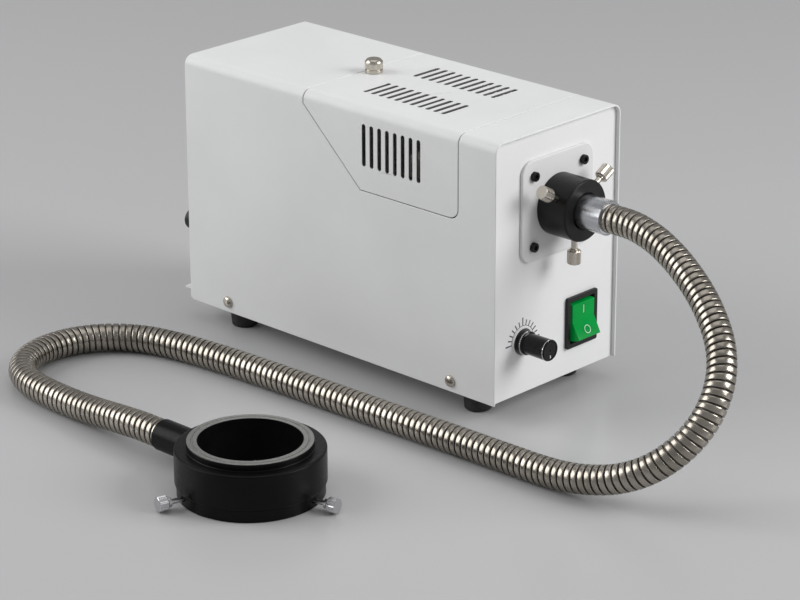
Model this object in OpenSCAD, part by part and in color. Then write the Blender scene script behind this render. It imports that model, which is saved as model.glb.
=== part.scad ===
// Fibre optic illuminator: a lamp house with a dimmer and a fan, and a flexible metal
// light guide that ends in a ring head. All sizes are in millimetres. The pieces are drawn
// in the lamp house's own frame: X across, Y from front to rear, Z up from the bench.

/* [Lamp house] */
// Width of the painted shell
house_w = 106; // [104:1:120]
// Length of the painted shell, front to rear
house_l = 250; // [246:1:280]
// Height of the painted shell
house_h = 155; // [152:1:175]
// Thickness of the steel sheet
sheet_t = 1.2; // [1:0.1:1.5]
// Outside radius of the shell's long bends
bend_r = 6; // [4:0.5:8]
// Thickness of the front and rear panels
panel_t = 1.5; // [1.2:0.1:2]
// How far the panels stand back inside the ends of the shell
panel_inset = 2.5; // [2:0.5:4]
// Radius of the shell's lower rear corners, seen from the side
rear_corner_r = 5; // [3:1:8]
// Height of the rubber feet
foot_h = 12.8; // [10:0.2:16]
// Radius of a foot where it meets the tray
foot_r = 9; // [8:0.5:10]
// Distance of the feet from the middle, across
foot_x = 37; // [34:1:40]
// Distance of the front feet from the shell's front edge
foot_front = 26.5; // [24:0.5:30]
// Distance of the rear feet from the shell's rear edge
foot_rear = 31; // [26:1:40]
// Height of the tray's upturned walls
tray_wall_h = 17; // [14:1:17]
// Height of the side screws over the tray's underside
side_screw_h = 6.6; // [6:0.2:9]
// Distance of the side screws from the shell's ends
side_screw_inset = 33.5; // [28:0.5:40]
// Radius of the side screws' heads
side_screw_head_r = 3.6; // [3.2:0.1:4]

/* [Lamp cover] */
// Front edge of the cover, from the shell's front edge
cover_front = 28.5; // [28:0.5:32]
// Rear edge of the cover, from the shell's front edge
cover_rear = 149.5; // [148:0.5:156]
// Depth of the cover's cheeks below the top
cheek_h = 50; // [46:1:54]
// Where the slanted rear edge of a cheek meets its lower edge
cheek_rear = 104; // [103:1:108]
// Depth of the short upright part of a cheek's rear edge
cheek_step = 8; // [7:0.5:12]
// Radius of a cheek's lower front corner
cheek_corner_r = 6; // [3:0.5:8]
// Open seam between the cover and the shell
seam = 0.6; // [0.5:0.1:0.8]
// Louvres in one cheek
cheek_louvres = 8; // [4:1:8]
// Louvres in one row on top
top_louvres = 11; // [5:1:11]
// Spacing of the louvres
louvre_pitch = 6.1; // [5:0.1:6.2]
// Width of a louvre
louvre_w = 2.6; // [2:0.1:3]
// Length of a louvre in the cheeks
cheek_louvre_l = 25; // [18:1:26]
// Length of a louvre on top
top_louvre_l = 21.6; // [14:0.2:22]
// Distance of the top rows from the middle
top_row_x = 20.8; // [18:0.2:22]
// Middle of the cheeks' louvres, from the cover's front edge
cheek_louvres_y = 51.2; // [46:0.2:52]
// Depth of the middle of the cheeks' louvres below the top
cheek_louvres_drop = 22.8; // [21:0.2:25]
// Middle of the top's louvres, from the cover's front edge
top_louvres_y = 62.2; // [60:0.2:66]
// How far the hinge pins stand ahead of the cover's front edge
hinge_lead = 12; // [12:0.5:16]
// How far the hinge pins lie under the top sheet
hinge_drop = 3.5; // [3:0.1:4]
// Radius of the hinge pins
hinge_pin_r = 1.5; // [1.2:0.1:1.6]

/* [Light port] */
// Height of the port's axis over the tray's underside
port_h = 108.2; // [104:0.2:112]
// Side of the square port plate
plate_side = 60; // [56:1:64]
// Corner radius of the port plate
plate_r = 8; // [4:1:10]
// Thickness of the port plate
plate_t = 2; // [1.5:0.1:3]
// Spacing of the port plate's screws
plate_pitch = 41.8; // [41:0.2:44]
// Outside radius of the collar
collar_r = 18; // [16:0.5:19]
// Length of the collar in front of its plate
collar_l = 20.5; // [18:0.5:24]
// Length of the collar's spigot behind its plate
spigot_l = 11; // [8:1:12]
// Radius of the collar's spigot
spigot_r = 14; // [12:0.5:15]
// Radius of the light guide's ferrule
ferrule_r = 10; // [8.5:0.5:10]
// Length of the ferrule inside the port
ferrule_in = 42; // [34:1:44]
// Running clearance of the ferrule in the collar, on the radius
ferrule_gap = 0.08; // [0.05:0.01:0.1]
// Distance of the clamp screws behind the collar's front face
clamp_back = 8; // [6:0.5:10]
// Distance of the heat filter's plate behind the front panel
filter_back = 26; // [24:1:28]
// Distance of the lamp's bracket behind the front panel
bracket_back = 44; // [42:1:50]

/* [Controls] */
// Height of the controls over the tray's underside
controls_h = 31.6; // [26:0.2:40]
// Distance of the dimmer's axis from the shell's side
dimmer_inset = 26.5; // [22:0.5:30]
// Distance of the switch's centre from the shell's side
switch_inset = 29.8; // [26:0.2:32]
// Radius of the knob at its front
knob_r = 6.2; // [5.8:0.1:7]
// Length of the knob
knob_l = 18.5; // [16:0.5:22]
// Width of the switch's bezel
bezel_w = 26.4; // [24:0.2:30]
// Height of the switch's bezel
bezel_h = 31.2; // [28:0.2:34]
// Thickness of the switch's bezel
bezel_t = 2; // [1.8:0.1:2.4]
// Width of the bezel's frame around the rocker
bezel_rim = 2.8; // [2.4:0.1:3.4]
// Angle that the rocker tips through
rocker_travel = 20; // [14:1:24]

/* [Rear] */
// Side of the square fan
fan_side = 80; // [76:1:82]
// Depth of the fan
fan_depth = 25; // [20:1:25]
// Depth of the fan's upper edge below the shell's top
fan_drop = 9; // [8:1:14]
// Radius of the fuse holder's cap
fuse_cap_r = 6.5; // [6:0.1:7.5]
// Depth of the fuse holder's axis below the fan
fuse_drop = 19.5; // [16:0.5:22]
// Distance of the fuse holder's axis from the shell's side
fuse_inset = 13; // [12:0.5:16]
// Height of the mains inlet over the tray's underside
inlet_h = 28; // [26:1:36]
// Distance of the mains inlet from the middle
inlet_x = 14; // [6:1:20]

/* [Ring head] */
// Radius of the ring head's bore
ring_bore_r = 28.5; // [27:0.1:29]
// Wall of the bore's sleeve
sleeve_t = 2.7; // [2:0.1:3]
// Width of the line of fibre ends in the light face
fibre_line = 0.9; // [0.6:0.1:1.2]
// Width of the rim outside the line of fibre ends
rim_t = 2.5; // [2:0.1:3]
// Width of the ring head's body round its bore
ring_w = 12.8; // [12.5:0.1:15]
// Wall of the ring head's body
ring_wall = 2.5; // [2:0.1:3]
// Height of the ring head with its rim
ring_h = 31; // [29:0.5:34]
// Height of the ring head's body without its rim
ring_body_h = 27.2; // [26:0.2:28]
// Height of the ring head's base band
base_band_h = 7.2; // [7:0.1:7.4]
// Height of the ring screws over the bench
ring_screw_h = 4.7; // [4.6:0.1:4.8]
// Radius of the neck tube
neck_r = 9; // [8.8:0.1:9.2]

/* [Light guide] */
// Outside radius of the conduit over its ribs
conduit_r = 8.3; // [7.8:0.1:8.3]
// Radius of the conduit between its ribs
conduit_root_r = 7.3; // [7.1:0.1:7.4]
// Radius of the conduit's bore
conduit_bore_r = 6.2; // [5.8:0.1:6.4]
// Radius of the bundle of glass fibres
bundle_r = 4.6; // [4:0.1:4.7]
// Number of ribs along the conduit
conduit_ribs = 200; // [120:1:200]

/* [Thumb screws] */
// Radius of a clamp screw's shank
clamp_shank_r = 1.75; // [1.5:0.05:2]
// Radius of a clamp screw's knurled head
clamp_head_r = 4; // [3.5:0.1:4.5]
// Length of a clamp screw's knurled head
clamp_head_l = 8; // [6:0.5:9]
// Radius of a ring screw's shank
ring_shank_r = 1.5; // [1.25:0.05:1.6]
// Radius of a ring screw's knurled head
ring_head_r = 4.4; // [3.6:0.1:4.5]
// Length of a ring screw's knurled head
ring_head_l = 7.5; // [5:0.5:9]
// Radius of the cover screw's knurled head
cover_head_r = 5.4; // [5:0.1:6]
// Height of the cover screw's knurled head
cover_head_h = 8.6; // [7:0.2:10]
// Radius of the cover screw's shank
cover_shank_r = 2.4; // [2:0.1:2.5]

/* [Hidden] */
$fn = 64;

// The point of the bench, in the lamp house's frame, that is the part's origin
origin_x = -104;
origin_y = 114;
// Room left where one fixed piece is slipped into another
slip = 0.1;
// Room left where a moving piece stops against another
stop_gap = 0.3;
// Radial clearance of a turning pin in its hole
pin_gap = 0.05;
// How far one drawn shape reaches into the next, so that they join
lap = 0.2;
// Excess of a cutting shape over what it cuts
cut = 1;

inside_w = house_w - 2 * sheet_t;
panel_w = inside_w - 2 * slip;
panel_corner_r = bend_r - sheet_t;
top_z = foot_h + house_h;
under_top = top_z - sheet_t;
floor_z = foot_h + sheet_t;
panel_face = panel_inset;
panel_back = panel_face + panel_t;
rear_face = house_l - panel_inset;
rear_inner = rear_face - panel_t;
port_z = foot_h + port_h;
controls_z = foot_h + controls_h;
dimmer_x = house_w / 2 - dimmer_inset;
switch_x = house_w / 2 - switch_inset;
fuse_x = house_w / 2 - fuse_inset;
ring_r = ring_bore_r + ring_w;

// Metric screws: shank and clearance hole
m3_r = 1.45;
m3_hole_r = 1.65;
m4_r = 1.9;
m4_hole_r = 2.15;

// ---- Shapes that several pieces share ----

// A rectangle centred on the origin with round corners
module round_rect(w, h, r) {
  square([w - 2 * r, h], center = true);
  square([w, h - 2 * r], center = true);
  for (x = [-1, 1], y = [-1, 1])
    translate([x * (w / 2 - r), y * (h / 2 - r)]) circle(r);
}

// A slot with round ends, along the first axis
module slot(l, w) {
  square([l - w, w], center = true);
  for (x = [-1, 1]) translate([x * (l - w) / 2, 0]) circle(w / 2);
}

// A disc whose edge has the teeth of a straight knurl
module knurled_disc(r, depth, teeth) {
  polygon([for (i = [0 : 2 * teeth - 1])
    let (a = 180 * i / teeth, tip = i % 2 == 0 ? r : r - depth) [tip * cos(a), tip * sin(a)]]);
}

// A flat shape in X and Z, made solid from y0 back to y1
module panel_shape(y0, y1) {
  translate([0, y1, 0]) rotate([90, 0, 0]) linear_extrude(y1 - y0) children();
}

// A flat shape in Y and Z, made solid across the whole house
module side_shape() {
  translate([-house_w, 0, 0]) rotate([90, 0, 90]) linear_extrude(2 * house_w) children();
}

// A round bar along Y, from y0 back to y1
module bar_y(x, z, y0, y1, r) {
  translate([x, y0, z]) rotate([-90, 0, 0]) cylinder(r = r, h = y1 - y0);
}

// A turned shape whose axis runs to the rear from a point
module turned_y(x, y, z) {
  translate([x, y, z]) rotate([-90, 0, 0]) rotate_extrude() children();
}

// A box given by its two corners
module box(low, high) {
  translate(low) cube(high - low);
}

// A knurled head along +Z with chamfered ends
module knurled_head(r, h, teeth) {
  chamfer = 0.6;
  depth = 0.35;
  neck_r = r - depth - 0.1;
  cylinder(r1 = neck_r - chamfer, r2 = neck_r, h = chamfer);
  translate([0, 0, chamfer]) linear_extrude(h - 2 * chamfer) knurled_disc(r, depth, teeth);
  translate([0, 0, h - chamfer]) cylinder(r1 = neck_r, r2 = neck_r - chamfer, h = chamfer);
}

// A thumb screw along +X: its tip, its shank, a short step and a knurled head
module thumb_screw(tip, step, head, head_l, shank_r, head_r) {
  step_r = head_r * 0.6;
  rotate([0, 90, 0]) {
    translate([0, 0, tip]) cylinder(r = shank_r, h = step - tip + lap);
    translate([0, 0, step]) cylinder(r = step_r, h = head - step + lap);
    translate([0, 0, head]) knurled_head(head_r, head_l, 24);
  }
}

// ---- Shell, tray, panels and feet ----

// Where the feet and the side screws stand, front to rear
foot_ys = [foot_front, house_l - foot_rear];
side_screw_ys = [side_screw_inset, house_l - side_screw_inset];

module bent_section(w, h, r) {
  translate([-w / 2, foot_h - cut]) square([w, h - r + cut]);
  translate([-w / 2 + r, foot_h]) square([w - 2 * r, h]);
  for (x = [-1, 1]) translate([x * (w / 2 - r), foot_h + h - r]) circle(r);
}

module bent_sheet() {
  difference() {
    panel_shape(0, house_l) difference() {
      bent_section(house_w, house_h, bend_r);
      bent_section(inside_w, house_h - sheet_t, panel_corner_r);
    }
    box([-house_w, -cut, foot_h - 2 * cut], [house_w, house_l + cut, foot_h]);
  }
}

// The cover's outline seen from the side, grown by the seam where the shell is cut
module cover_outline(grow) {
  low = top_z - cheek_h;
  run = cover_rear - cheek_rear;
  rise = cheek_h - cheek_step;
  slant = norm([run, rise]);
  out = [rise, -run] * grow / slant;
  foot_t = (-grow - out[1]) / rise;
  head_t = (cover_rear + grow - cheek_rear - out[0]) / run;
  corner = cheek_corner_r + grow;
  difference() {
    polygon([
      [cover_front - grow, top_z + cut], [cover_rear + grow, top_z + cut],
      [cover_rear + grow, low + out[1] + head_t * rise],
      [cheek_rear + out[0] + foot_t * run, low - grow], [cover_front - grow, low - grow]
    ]);
    translate([cover_front - grow - cut, low - grow - cut]) square(corner + cut);
  }
  translate([cover_front + cheek_corner_r, low + cheek_corner_r]) circle(corner);
}

module side_screw_holes() {
  for (y = side_screw_ys)
    translate([-house_w, y, foot_h + side_screw_h]) rotate([0, 90, 0])
      cylinder(r = m4_hole_r, h = 2 * house_w);
}

module housing_shell() {
  color("gainsboro") difference() {
    bent_sheet();
    side_shape() cover_outline(seam);
    side_screw_holes();
    side_shape() difference() {
      translate([house_l - rear_corner_r, foot_h - cut]) square([rear_corner_r + cut, rear_corner_r + cut]);
      translate([house_l - rear_corner_r, foot_h + rear_corner_r]) circle(rear_corner_r);
    }
  }
}

module base_tray() {
  wall = panel_w / 2;
  vents = 4;
  vent_l = 44;
  vent_pitch = 8;
  vent_inset = 12;
  color("gainsboro") difference() {
    box([-wall, panel_back, foot_h], [wall, rear_inner, foot_h + tray_wall_h]);
    box([-wall + sheet_t, panel_back + sheet_t, floor_z],
      [wall - sheet_t, rear_inner - sheet_t, top_z]);
    side_screw_holes();
    for (x = [-1, 1], y = foot_ys)
      translate([x * foot_x, y, 0]) cylinder(r = m4_hole_r, h = top_z);
    for (i = [0 : vents - 1])
      translate([0, rear_inner - vent_inset - i * vent_pitch, 0]) linear_extrude(top_z) slot(vent_l, louvre_w);
  }
}

module panel_outline() {
  bent_top = under_top - slip;
  translate([-panel_w / 2, foot_h]) square([panel_w, bent_top - foot_h - panel_corner_r]);
  translate([-panel_w / 2 + panel_corner_r, foot_h])
    square([panel_w - 2 * panel_corner_r, bent_top - foot_h]);
  for (x = [-1, 1])
    translate([x * (panel_w / 2 - panel_corner_r), bent_top - panel_corner_r])
      circle(panel_corner_r);
}

// What the front panel's cut-outs must pass
pot_bushing_r = 3.4;
switch_open_w = bezel_w - 2 * bezel_rim;
switch_open_h = bezel_h - 2 * bezel_rim;
switch_wall = 1.2;
switch_case_w = switch_open_w + 2 * switch_wall;
switch_case_h = switch_open_h + 2 * switch_wall;

module plate_screw_places() {
  for (x = [-1, 1], z = [-1, 1])
    translate([x * plate_pitch / 2, port_z + z * plate_pitch / 2]) children();
}

module front_panel() {
  color("white") panel_shape(panel_face, panel_back) difference() {
    panel_outline();
    translate([0, port_z]) circle(spigot_r + slip);
    plate_screw_places() circle(m3_hole_r);
    translate([-dimmer_x, controls_z]) circle(pot_bushing_r + slip);
    translate([switch_x, controls_z])
      square([switch_case_w + 2 * slip, switch_case_h + 2 * slip], center = true);
  }
}

// The rear panel's fittings
fan_z = top_z - fan_drop - fan_side / 2;
fan_bore_r = fan_side / 2 - 2;
fan_pitch = fan_side - 8.5;
inlet_z = foot_h + inlet_h;
inlet_case = [27, 20];
inlet_flange = [49, 24];
inlet_screw_pitch = 40;
fuse_z = fan_z - fan_side / 2 - fuse_drop;
fuse_tube_r = 6;

module fan_screw_places() {
  for (x = [-1, 1], z = [-1, 1]) translate([x * fan_pitch / 2, fan_z + z * fan_pitch / 2]) children();
}

module inlet_screw_places() {
  for (x = [-1, 1]) translate([inlet_x + x * inlet_screw_pitch / 2, inlet_z]) children();
}

module rear_panel() {
  tab_w = 12;
  tab_l = 9.5;
  tab_z = foot_h + 7;
  tab_x = -panel_w / 2 + 1;
  tie_hole_r = 2;
  color("gainsboro") difference() {
    union() {
      panel_shape(rear_inner, rear_face) difference() {
        panel_outline();
        translate([0, fan_z]) circle(fan_bore_r);
        fan_screw_places() circle(m4_hole_r);
        translate([-fuse_x, fuse_z]) circle(fuse_tube_r + slip);
        translate([inlet_x, inlet_z]) square(inlet_case + [2 * slip, 2 * slip], center = true);
        inlet_screw_places() circle(m3_hole_r);
      }
      box([tab_x, rear_face - lap, tab_z], [tab_x + tab_w, rear_face + tab_l, tab_z + sheet_t]);
    }
    translate([tab_x + tab_w / 2, rear_face + tab_l / 2 + 1, tab_z - cut])
      cylinder(r = tie_hole_r, h = sheet_t + 2 * cut);
  }
}

foot_recess_r = 4.8;
foot_recess_h = 8;

module rubber_feet() {
  taper = 1;
  edge = 1;
  color([0.06, 0.06, 0.06]) for (x = [-1, 1], y = foot_ys) translate([x * foot_x, y, 0])
    difference() {
      rotate_extrude() polygon([
        [0, 0], [foot_r - taper - edge, 0], [foot_r - taper, edge], [foot_r, foot_h], [0, foot_h]
      ]);
      translate([0, 0, -cut]) cylinder(r = foot_recess_r, h = foot_recess_h + cut);
      cylinder(r = m4_hole_r, h = foot_h + cut);
    }
}

module foot_screws() {
  head_r = 3.8;
  head_h = 2.4;
  nut_r = 4;
  nut_h = 3.2;
  end_z = floor_z + 5;
  color("silver") for (x = [-1, 1], y = foot_ys) translate([x * foot_x, y, 0]) {
    translate([0, 0, foot_recess_h - head_h]) cylinder(r = head_r, h = head_h);
    translate([0, 0, foot_recess_h - lap]) cylinder(r = m4_r, h = end_z - foot_recess_h + lap);
    translate([0, 0, floor_z]) cylinder(r = nut_r, h = nut_h, $fn = 6);
  }
}

module side_screws() {
  shank_l = 7;
  r = side_screw_head_r;
  color("silver") for (side = [-1, 1], y = side_screw_ys)
    translate([side * house_w / 2, y, foot_h + side_screw_h]) rotate([0, side * 90, 0]) {
      rotate_extrude() polygon([
        [0, 0], [r, 0], [r, 0.6], [0.85 * r, 1.4], [0.5 * r, 2], [0, 2.2]
      ]);
      translate([0, 0, -shank_l]) cylinder(r = m4_r, h = shank_l + lap);
    }
}

// ---- Lamp cover, its hinge and its screw ----

hinge_y = cover_front - hinge_lead;
hinge_z = under_top - hinge_drop;
hinge_x = 36;
arm_w = 7;
arm_t = 2;
arm_drop = 15;
lug_t = 2;
barrel_r = hinge_pin_r + 1.2;
cover_screw_y = cover_rear - 5.5;
louvre_mid_y = cover_front + cheek_louvres_y;
louvre_mid_z = top_z - cheek_louvres_drop;
top_louvre_mid_y = cover_front + top_louvres_y;
bracket_boss_h = 4;

// A swan-neck arm that reaches under the shell's front strip to the hinge pin
module hinge_arm() {
  arm_end = hinge_lead + 1 + arm_t;
  rotate([90, 0, 90]) translate([0, 0, -arm_w / 2]) linear_extrude(arm_w) difference() {
    union() {
      circle(barrel_r);
      translate([-arm_t / 2, -arm_drop]) square([arm_t, arm_drop]);
      translate([-arm_t / 2, -arm_drop]) square([arm_end + arm_t / 2, arm_t]);
      translate([arm_end - arm_t, -arm_drop]) square([arm_t, arm_drop + hinge_drop + lap]);
    }
    circle(hinge_pin_r + pin_gap);
  }
}

module lamp_cover() {
  color("gainsboro") difference() {
    intersection() {
      bent_sheet();
      side_shape() cover_outline(0);
    }
    side_shape() for (i = [0 : cheek_louvres - 1])
      translate([louvre_mid_y + (i - (cheek_louvres - 1) / 2) * louvre_pitch, louvre_mid_z])
        rotate(90) slot(cheek_louvre_l, louvre_w);
    for (i = [0 : top_louvres - 1], x = [-1, 1])
      translate([x * top_row_x, top_louvre_mid_y + (i - (top_louvres - 1) / 2) * louvre_pitch,
        under_top - cut]) linear_extrude(sheet_t + 2 * cut) slot(top_louvre_l, louvre_w);
    translate([0, cover_screw_y, under_top - cut]) cylinder(r = cover_shank_r + stop_gap, h = 4);
  }
  color("gainsboro") for (x = [-1, 1]) translate([x * hinge_x, hinge_y, hinge_z]) hinge_arm();
}

// The knurled screw that holds the cover's rear edge down
module cover_screw() {
  disc_h = 2.2;
  groove_h = 0.9;
  groove_r = cover_head_r - 0.9;
  grip_z = disc_h + groove_h;
  shank_l = sheet_t + 2 + bracket_boss_h;
  color("lightgray") translate([0, cover_screw_y, top_z]) {
    translate([0, 0, -shank_l]) cylinder(r = cover_shank_r, h = shank_l + lap);
    cylinder(r = cover_head_r - 0.1, h = disc_h);
    translate([0, 0, disc_h - lap]) cylinder(r = groove_r, h = groove_h + 2 * lap);
    translate([0, 0, grip_z]) knurled_head(cover_head_r, cover_head_h - grip_z, 36);
  }
}

module cover_bracket() {
  plate_h = 2;
  reach = 16;
  width = 44;
  hole_gap = 1;
  boss_wall = 2.1;
  hole_r = cover_shank_r + hole_gap;
  boss_z = under_top - plate_h - bracket_boss_h;
  color("silver") difference() {
    union() {
      box([-width / 2, cover_rear - reach, under_top - plate_h],
        [width / 2, cover_rear + reach, under_top]);
      translate([0, cover_screw_y, boss_z])
        cylinder(r = hole_r + boss_wall, h = bracket_boss_h + lap);
    }
    translate([0, cover_screw_y, boss_z - cut])
      cylinder(r = hole_r, h = plate_h + bracket_boss_h + 2 * cut);
  }
}

module hinge_lugs() {
  lug_r = 3;
  color("silver") for (side = [-1, 1], end = [-1, 1])
    translate([side * hinge_x + end * (arm_w / 2 + 0.2 + lug_t / 2), hinge_y, hinge_z])
      rotate([90, 0, 90]) translate([0, 0, -lug_t / 2]) linear_extrude(lug_t) difference() {
        union() {
          circle(lug_r);
          translate([-lug_r, 0]) square([2 * lug_r, hinge_drop]);
        }
        circle(hinge_pin_r + pin_gap);
      }
}

module hinge_pins() {
  pin_l = arm_w + 2 * lug_t + 2.4;
  color("silver") for (x = [-1, 1])
    translate([x * hinge_x - pin_l / 2, hinge_y, hinge_z]) rotate([0, 90, 0])
      cylinder(r = hinge_pin_r, h = pin_l);
}

// ---- Light port ----

plate_face = panel_face - plate_t;
collar_face = plate_face - collar_l;
clamp_y = collar_face + clamp_back;
filter_y = panel_back + filter_back;
filter_plate_t = 1.5;

module port_plate() {
  color("whitesmoke") panel_shape(plate_face, panel_face) difference() {
    translate([0, port_z]) round_rect(plate_side, plate_side, plate_r);
    translate([0, port_z]) circle(spigot_r + slip);
    plate_screw_places() circle(m3_hole_r);
  }
}

// Socket screws that also carry the filter plate on its spacers
module port_screws() {
  head_r = 2.8;
  head_h = 2.2;
  socket_r = 1.45;
  nut_y = filter_y + filter_plate_t;
  color([0.05, 0.05, 0.05]) {
    panel_shape(plate_face - head_h, plate_face) plate_screw_places() difference() {
      circle(head_r);
      circle(socket_r, $fn = 6);
    }
    panel_shape(plate_face - lap - 0.8, nut_y + 3.5) plate_screw_places() circle(m3_r);
    panel_shape(nut_y, nut_y + 2.4) plate_screw_places() circle(3.1, $fn = 6);
  }
}

module port_collar() {
  edge = 0.8;
  mouth_r = ferrule_r + 0.8;
  bore_r = ferrule_r + ferrule_gap;
  color([0.05, 0.05, 0.05]) difference() {
    turned_y(0, collar_face, port_z) polygon([
      [bore_r, mouth_r - bore_r], [mouth_r, 0], [collar_r - edge, 0], [collar_r, edge],
      [collar_r, collar_l], [spigot_r, collar_l], [spigot_r, collar_l + spigot_l],
      [bore_r, collar_l + spigot_l]
    ]);
    for (a = [30, 150, 270]) translate([0, clamp_y, port_z]) rotate([0, -a, 0])
      rotate([0, 90, 0]) cylinder(r = clamp_shank_r + pin_gap, h = collar_r + cut);
  }
}

module clamp_screw(angle) {
  head = collar_r + 7;
  color("silver") translate([0, clamp_y, port_z]) rotate([0, -angle, 0])
    thumb_screw(ferrule_r + stop_gap, head - 1.2, head, clamp_head_l, clamp_shank_r, clamp_head_r);
}

module collar_screw_left() { clamp_screw(150); }
module collar_screw_right() { clamp_screw(30); }
module collar_screw_lower() { clamp_screw(270); }

// ---- Heat filter and lamp ----

filter_r = 21.5;
filter_t = 3;
bracket_y = panel_back + bracket_back;
lamp_y = bracket_y + sheet_t;
lamp_rim_r = 25;
lamp_depth = 36;
lamp_base_l = 9;
pin_pitch = 5.3;

module filter_spacers() {
  color("silver") panel_shape(panel_back, filter_y) plate_screw_places() difference() {
    circle(3.3);
    circle(m3_hole_r);
  }
}

module filter_holder() {
  cup_r = filter_r + slip;
  color("silver") {
    panel_shape(filter_y, filter_y + filter_plate_t) difference() {
      translate([0, port_z]) square(plate_pitch + 12, center = true);
      translate([0, port_z]) circle(filter_r - 3);
      plate_screw_places() circle(m3_hole_r);
    }
    panel_shape(filter_y + filter_plate_t - lap, filter_y + filter_plate_t + filter_t + 1)
      translate([0, port_z]) difference() {
        circle(cup_r + 1.2);
        circle(cup_r);
      }
  }
}

module heat_filter() {
  y = filter_y + filter_plate_t;
  color([0.7, 0.9, 0.85, 0.5]) bar_y(0, port_z, y, y + filter_t, filter_r);
}

// The reflector's radius at a share of its depth
function reflector_r(t) = 8 + (lamp_rim_r - 9) * sqrt(1 - t);

module lamp_reflector() {
  wall = 1.6;
  steps = 10;
  color([0.75, 0.75, 0.7, 0.6]) difference() {
    turned_y(0, lamp_y, port_z) polygon(concat(
      [[lamp_rim_r - 1 - wall, 0], [lamp_rim_r, 0], [lamp_rim_r, 2]],
      [for (i = [1 : steps]) [reflector_r(i / steps), lamp_depth * i / steps]],
      [[8, lamp_depth + lamp_base_l], [4.6, lamp_depth + lamp_base_l], [4.6, lamp_depth]],
      [for (i = [steps - 1 : -1 : 1])
        [reflector_r(i / steps) - wall, lamp_depth * i / steps]]
    ));
  }
}

module lamp_bulb() {
  glass_r = 4.5;
  pin_r = 0.7;
  pin_l = 7;
  tip_y = lamp_y + 14;
  base_y = lamp_y + lamp_depth + lamp_base_l;
  color([0.9, 0.92, 0.95, 0.6]) {
    bar_y(0, port_z, tip_y + glass_r, base_y, glass_r);
    translate([0, tip_y + glass_r, port_z]) sphere(glass_r);
    for (x = [-1, 1]) bar_y(x * pin_pitch / 2, port_z, base_y - lap, base_y + pin_l, pin_r);
  }
}

module lamp_socket() {
  block = [20, 14, 12];
  hole_r = 0.8;
  hole_l = 8;
  y = lamp_y + lamp_depth + lamp_base_l;
  color("ivory") difference() {
    panel_shape(y, y + block[2]) translate([0, port_z]) round_rect(block[0], block[1], 2);
    for (x = [-1, 1]) bar_y(x * pin_pitch / 2, port_z, y - cut, y + hole_l, hole_r);
  }
}

module lamp_bracket() {
  half_w = 38;
  head_room = 14;
  web_w = 12;
  rim_margin = 6;
  bolt_x = 30;
  bracket_top = port_z + lamp_rim_r + 3;
  color("silver") {
    panel_shape(bracket_y, bracket_y + sheet_t) difference() {
      translate([-half_w, floor_z]) square([2 * half_w, bracket_top - floor_z]);
      translate([0, port_z]) circle(lamp_rim_r - 2);
      translate([-half_w + web_w, floor_z + head_room])
        square([2 * (half_w - web_w), port_z - lamp_rim_r - rim_margin - floor_z - head_room]);
    }
    difference() {
      box([-half_w, bracket_y + sheet_t - lap, floor_z],
        [half_w, bracket_y + bracket_foot_l, floor_z + sheet_t]);
      for (x = [-1, 1]) translate([x * bolt_x, bracket_y + bracket_foot_l * 0.6, 0])
        cylinder(r = m3_hole_r, h = top_z);
    }
  }
}

// ---- Power parts on the tray ----

bracket_foot_l = 14;
// Clear space kept between one power part and the next, front to rear
bay_gap = 5;
core = [80, 0.176 * house_l, 66];
leg = 26;
window = [13, 40];
coil_gap = 0.3;
// How far the coil stands out of the core, front and rear
coil_head = 13;
board = [80, 0.24 * house_l];
board_y = bracket_y + bracket_foot_l + bay_gap;
board_t = 1.6;
board_lift = 6;
board_z = floor_z + board_lift;
spacer_inset = 5;
core_y = board_y + board[1] + bay_gap + coil_head;
core_bolt_inset = 5;

module core_bolt_places() {
  for (x = [-1, 1], z = [core_bolt_inset, core[2] - core_bolt_inset])
    translate([x * (core[0] / 2 - core_bolt_inset), floor_z + z]) children();
}

module transformer_core() {
  yoke = (core[2] - window[1]) / 2;
  color("dimgray") panel_shape(core_y, core_y + core[1]) difference() {
    translate([-core[0] / 2, floor_z]) square([core[0], core[2]]);
    for (x = [-1, 1])
      translate([x * (leg + window[0]) / 2, floor_z + yoke + window[1] / 2])
        square(window, center = true);
    core_bolt_places() circle(m4_hole_r);
  }
}

module transformer_coil() {
  yoke = (core[2] - window[1]) / 2;
  coil_w = leg + 2 * window[0] - 2 * coil_gap;
  coil_l = core[1] + 2 * coil_head;
  z0 = floor_z + yoke + coil_gap;
  color([0.85, 0.65, 0.2]) translate([0, core_y + core[1] / 2, z0])
    linear_extrude(window[1] - 2 * coil_gap) difference() {
      round_rect(coil_w, coil_l, 6);
      square([leg + 2 * coil_gap, core[1] + 2 * coil_gap], center = true);
    }
}

module transformer_bolts() {
  head_h = 2.8;
  head_r = 4;
  color("silver") {
    panel_shape(core_y - head_h, core_y) core_bolt_places() circle(head_r, $fn = 6);
    panel_shape(core_y - lap, core_y + core[1] + 5) core_bolt_places() circle(m4_r);
    panel_shape(core_y + core[1], core_y + core[1] + head_h) core_bolt_places()
      circle(head_r, $fn = 6);
  }
}

module board_corner_places() {
  for (x = [-1, 1], y = [spacer_inset, board[1] - spacer_inset])
    translate([x * (board[0] / 2 - spacer_inset), board_y + y, 0]) children();
}

module dimmer_board() {
  color("darkgreen") difference() {
    box([-board[0] / 2, board_y, board_z], [board[0] / 2, board_y + board[1], board_z + board_t]);
    board_corner_places() cylinder(r = m3_hole_r, h = top_z);
  }
}

module board_spacers() {
  color("silver") board_corner_places() {
    translate([0, 0, floor_z]) cylinder(r = 3, h = board_z - floor_z, $fn = 6);
    translate([0, 0, board_z - lap]) cylinder(r = m3_r, h = board_t + 2);
    translate([0, 0, board_z + board_t]) cylinder(r = 2.7, h = 2);
  }
}

sink = [32, 26, 30];
sink_at = [-30, board_y + 14, board_z + board_t];

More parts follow.
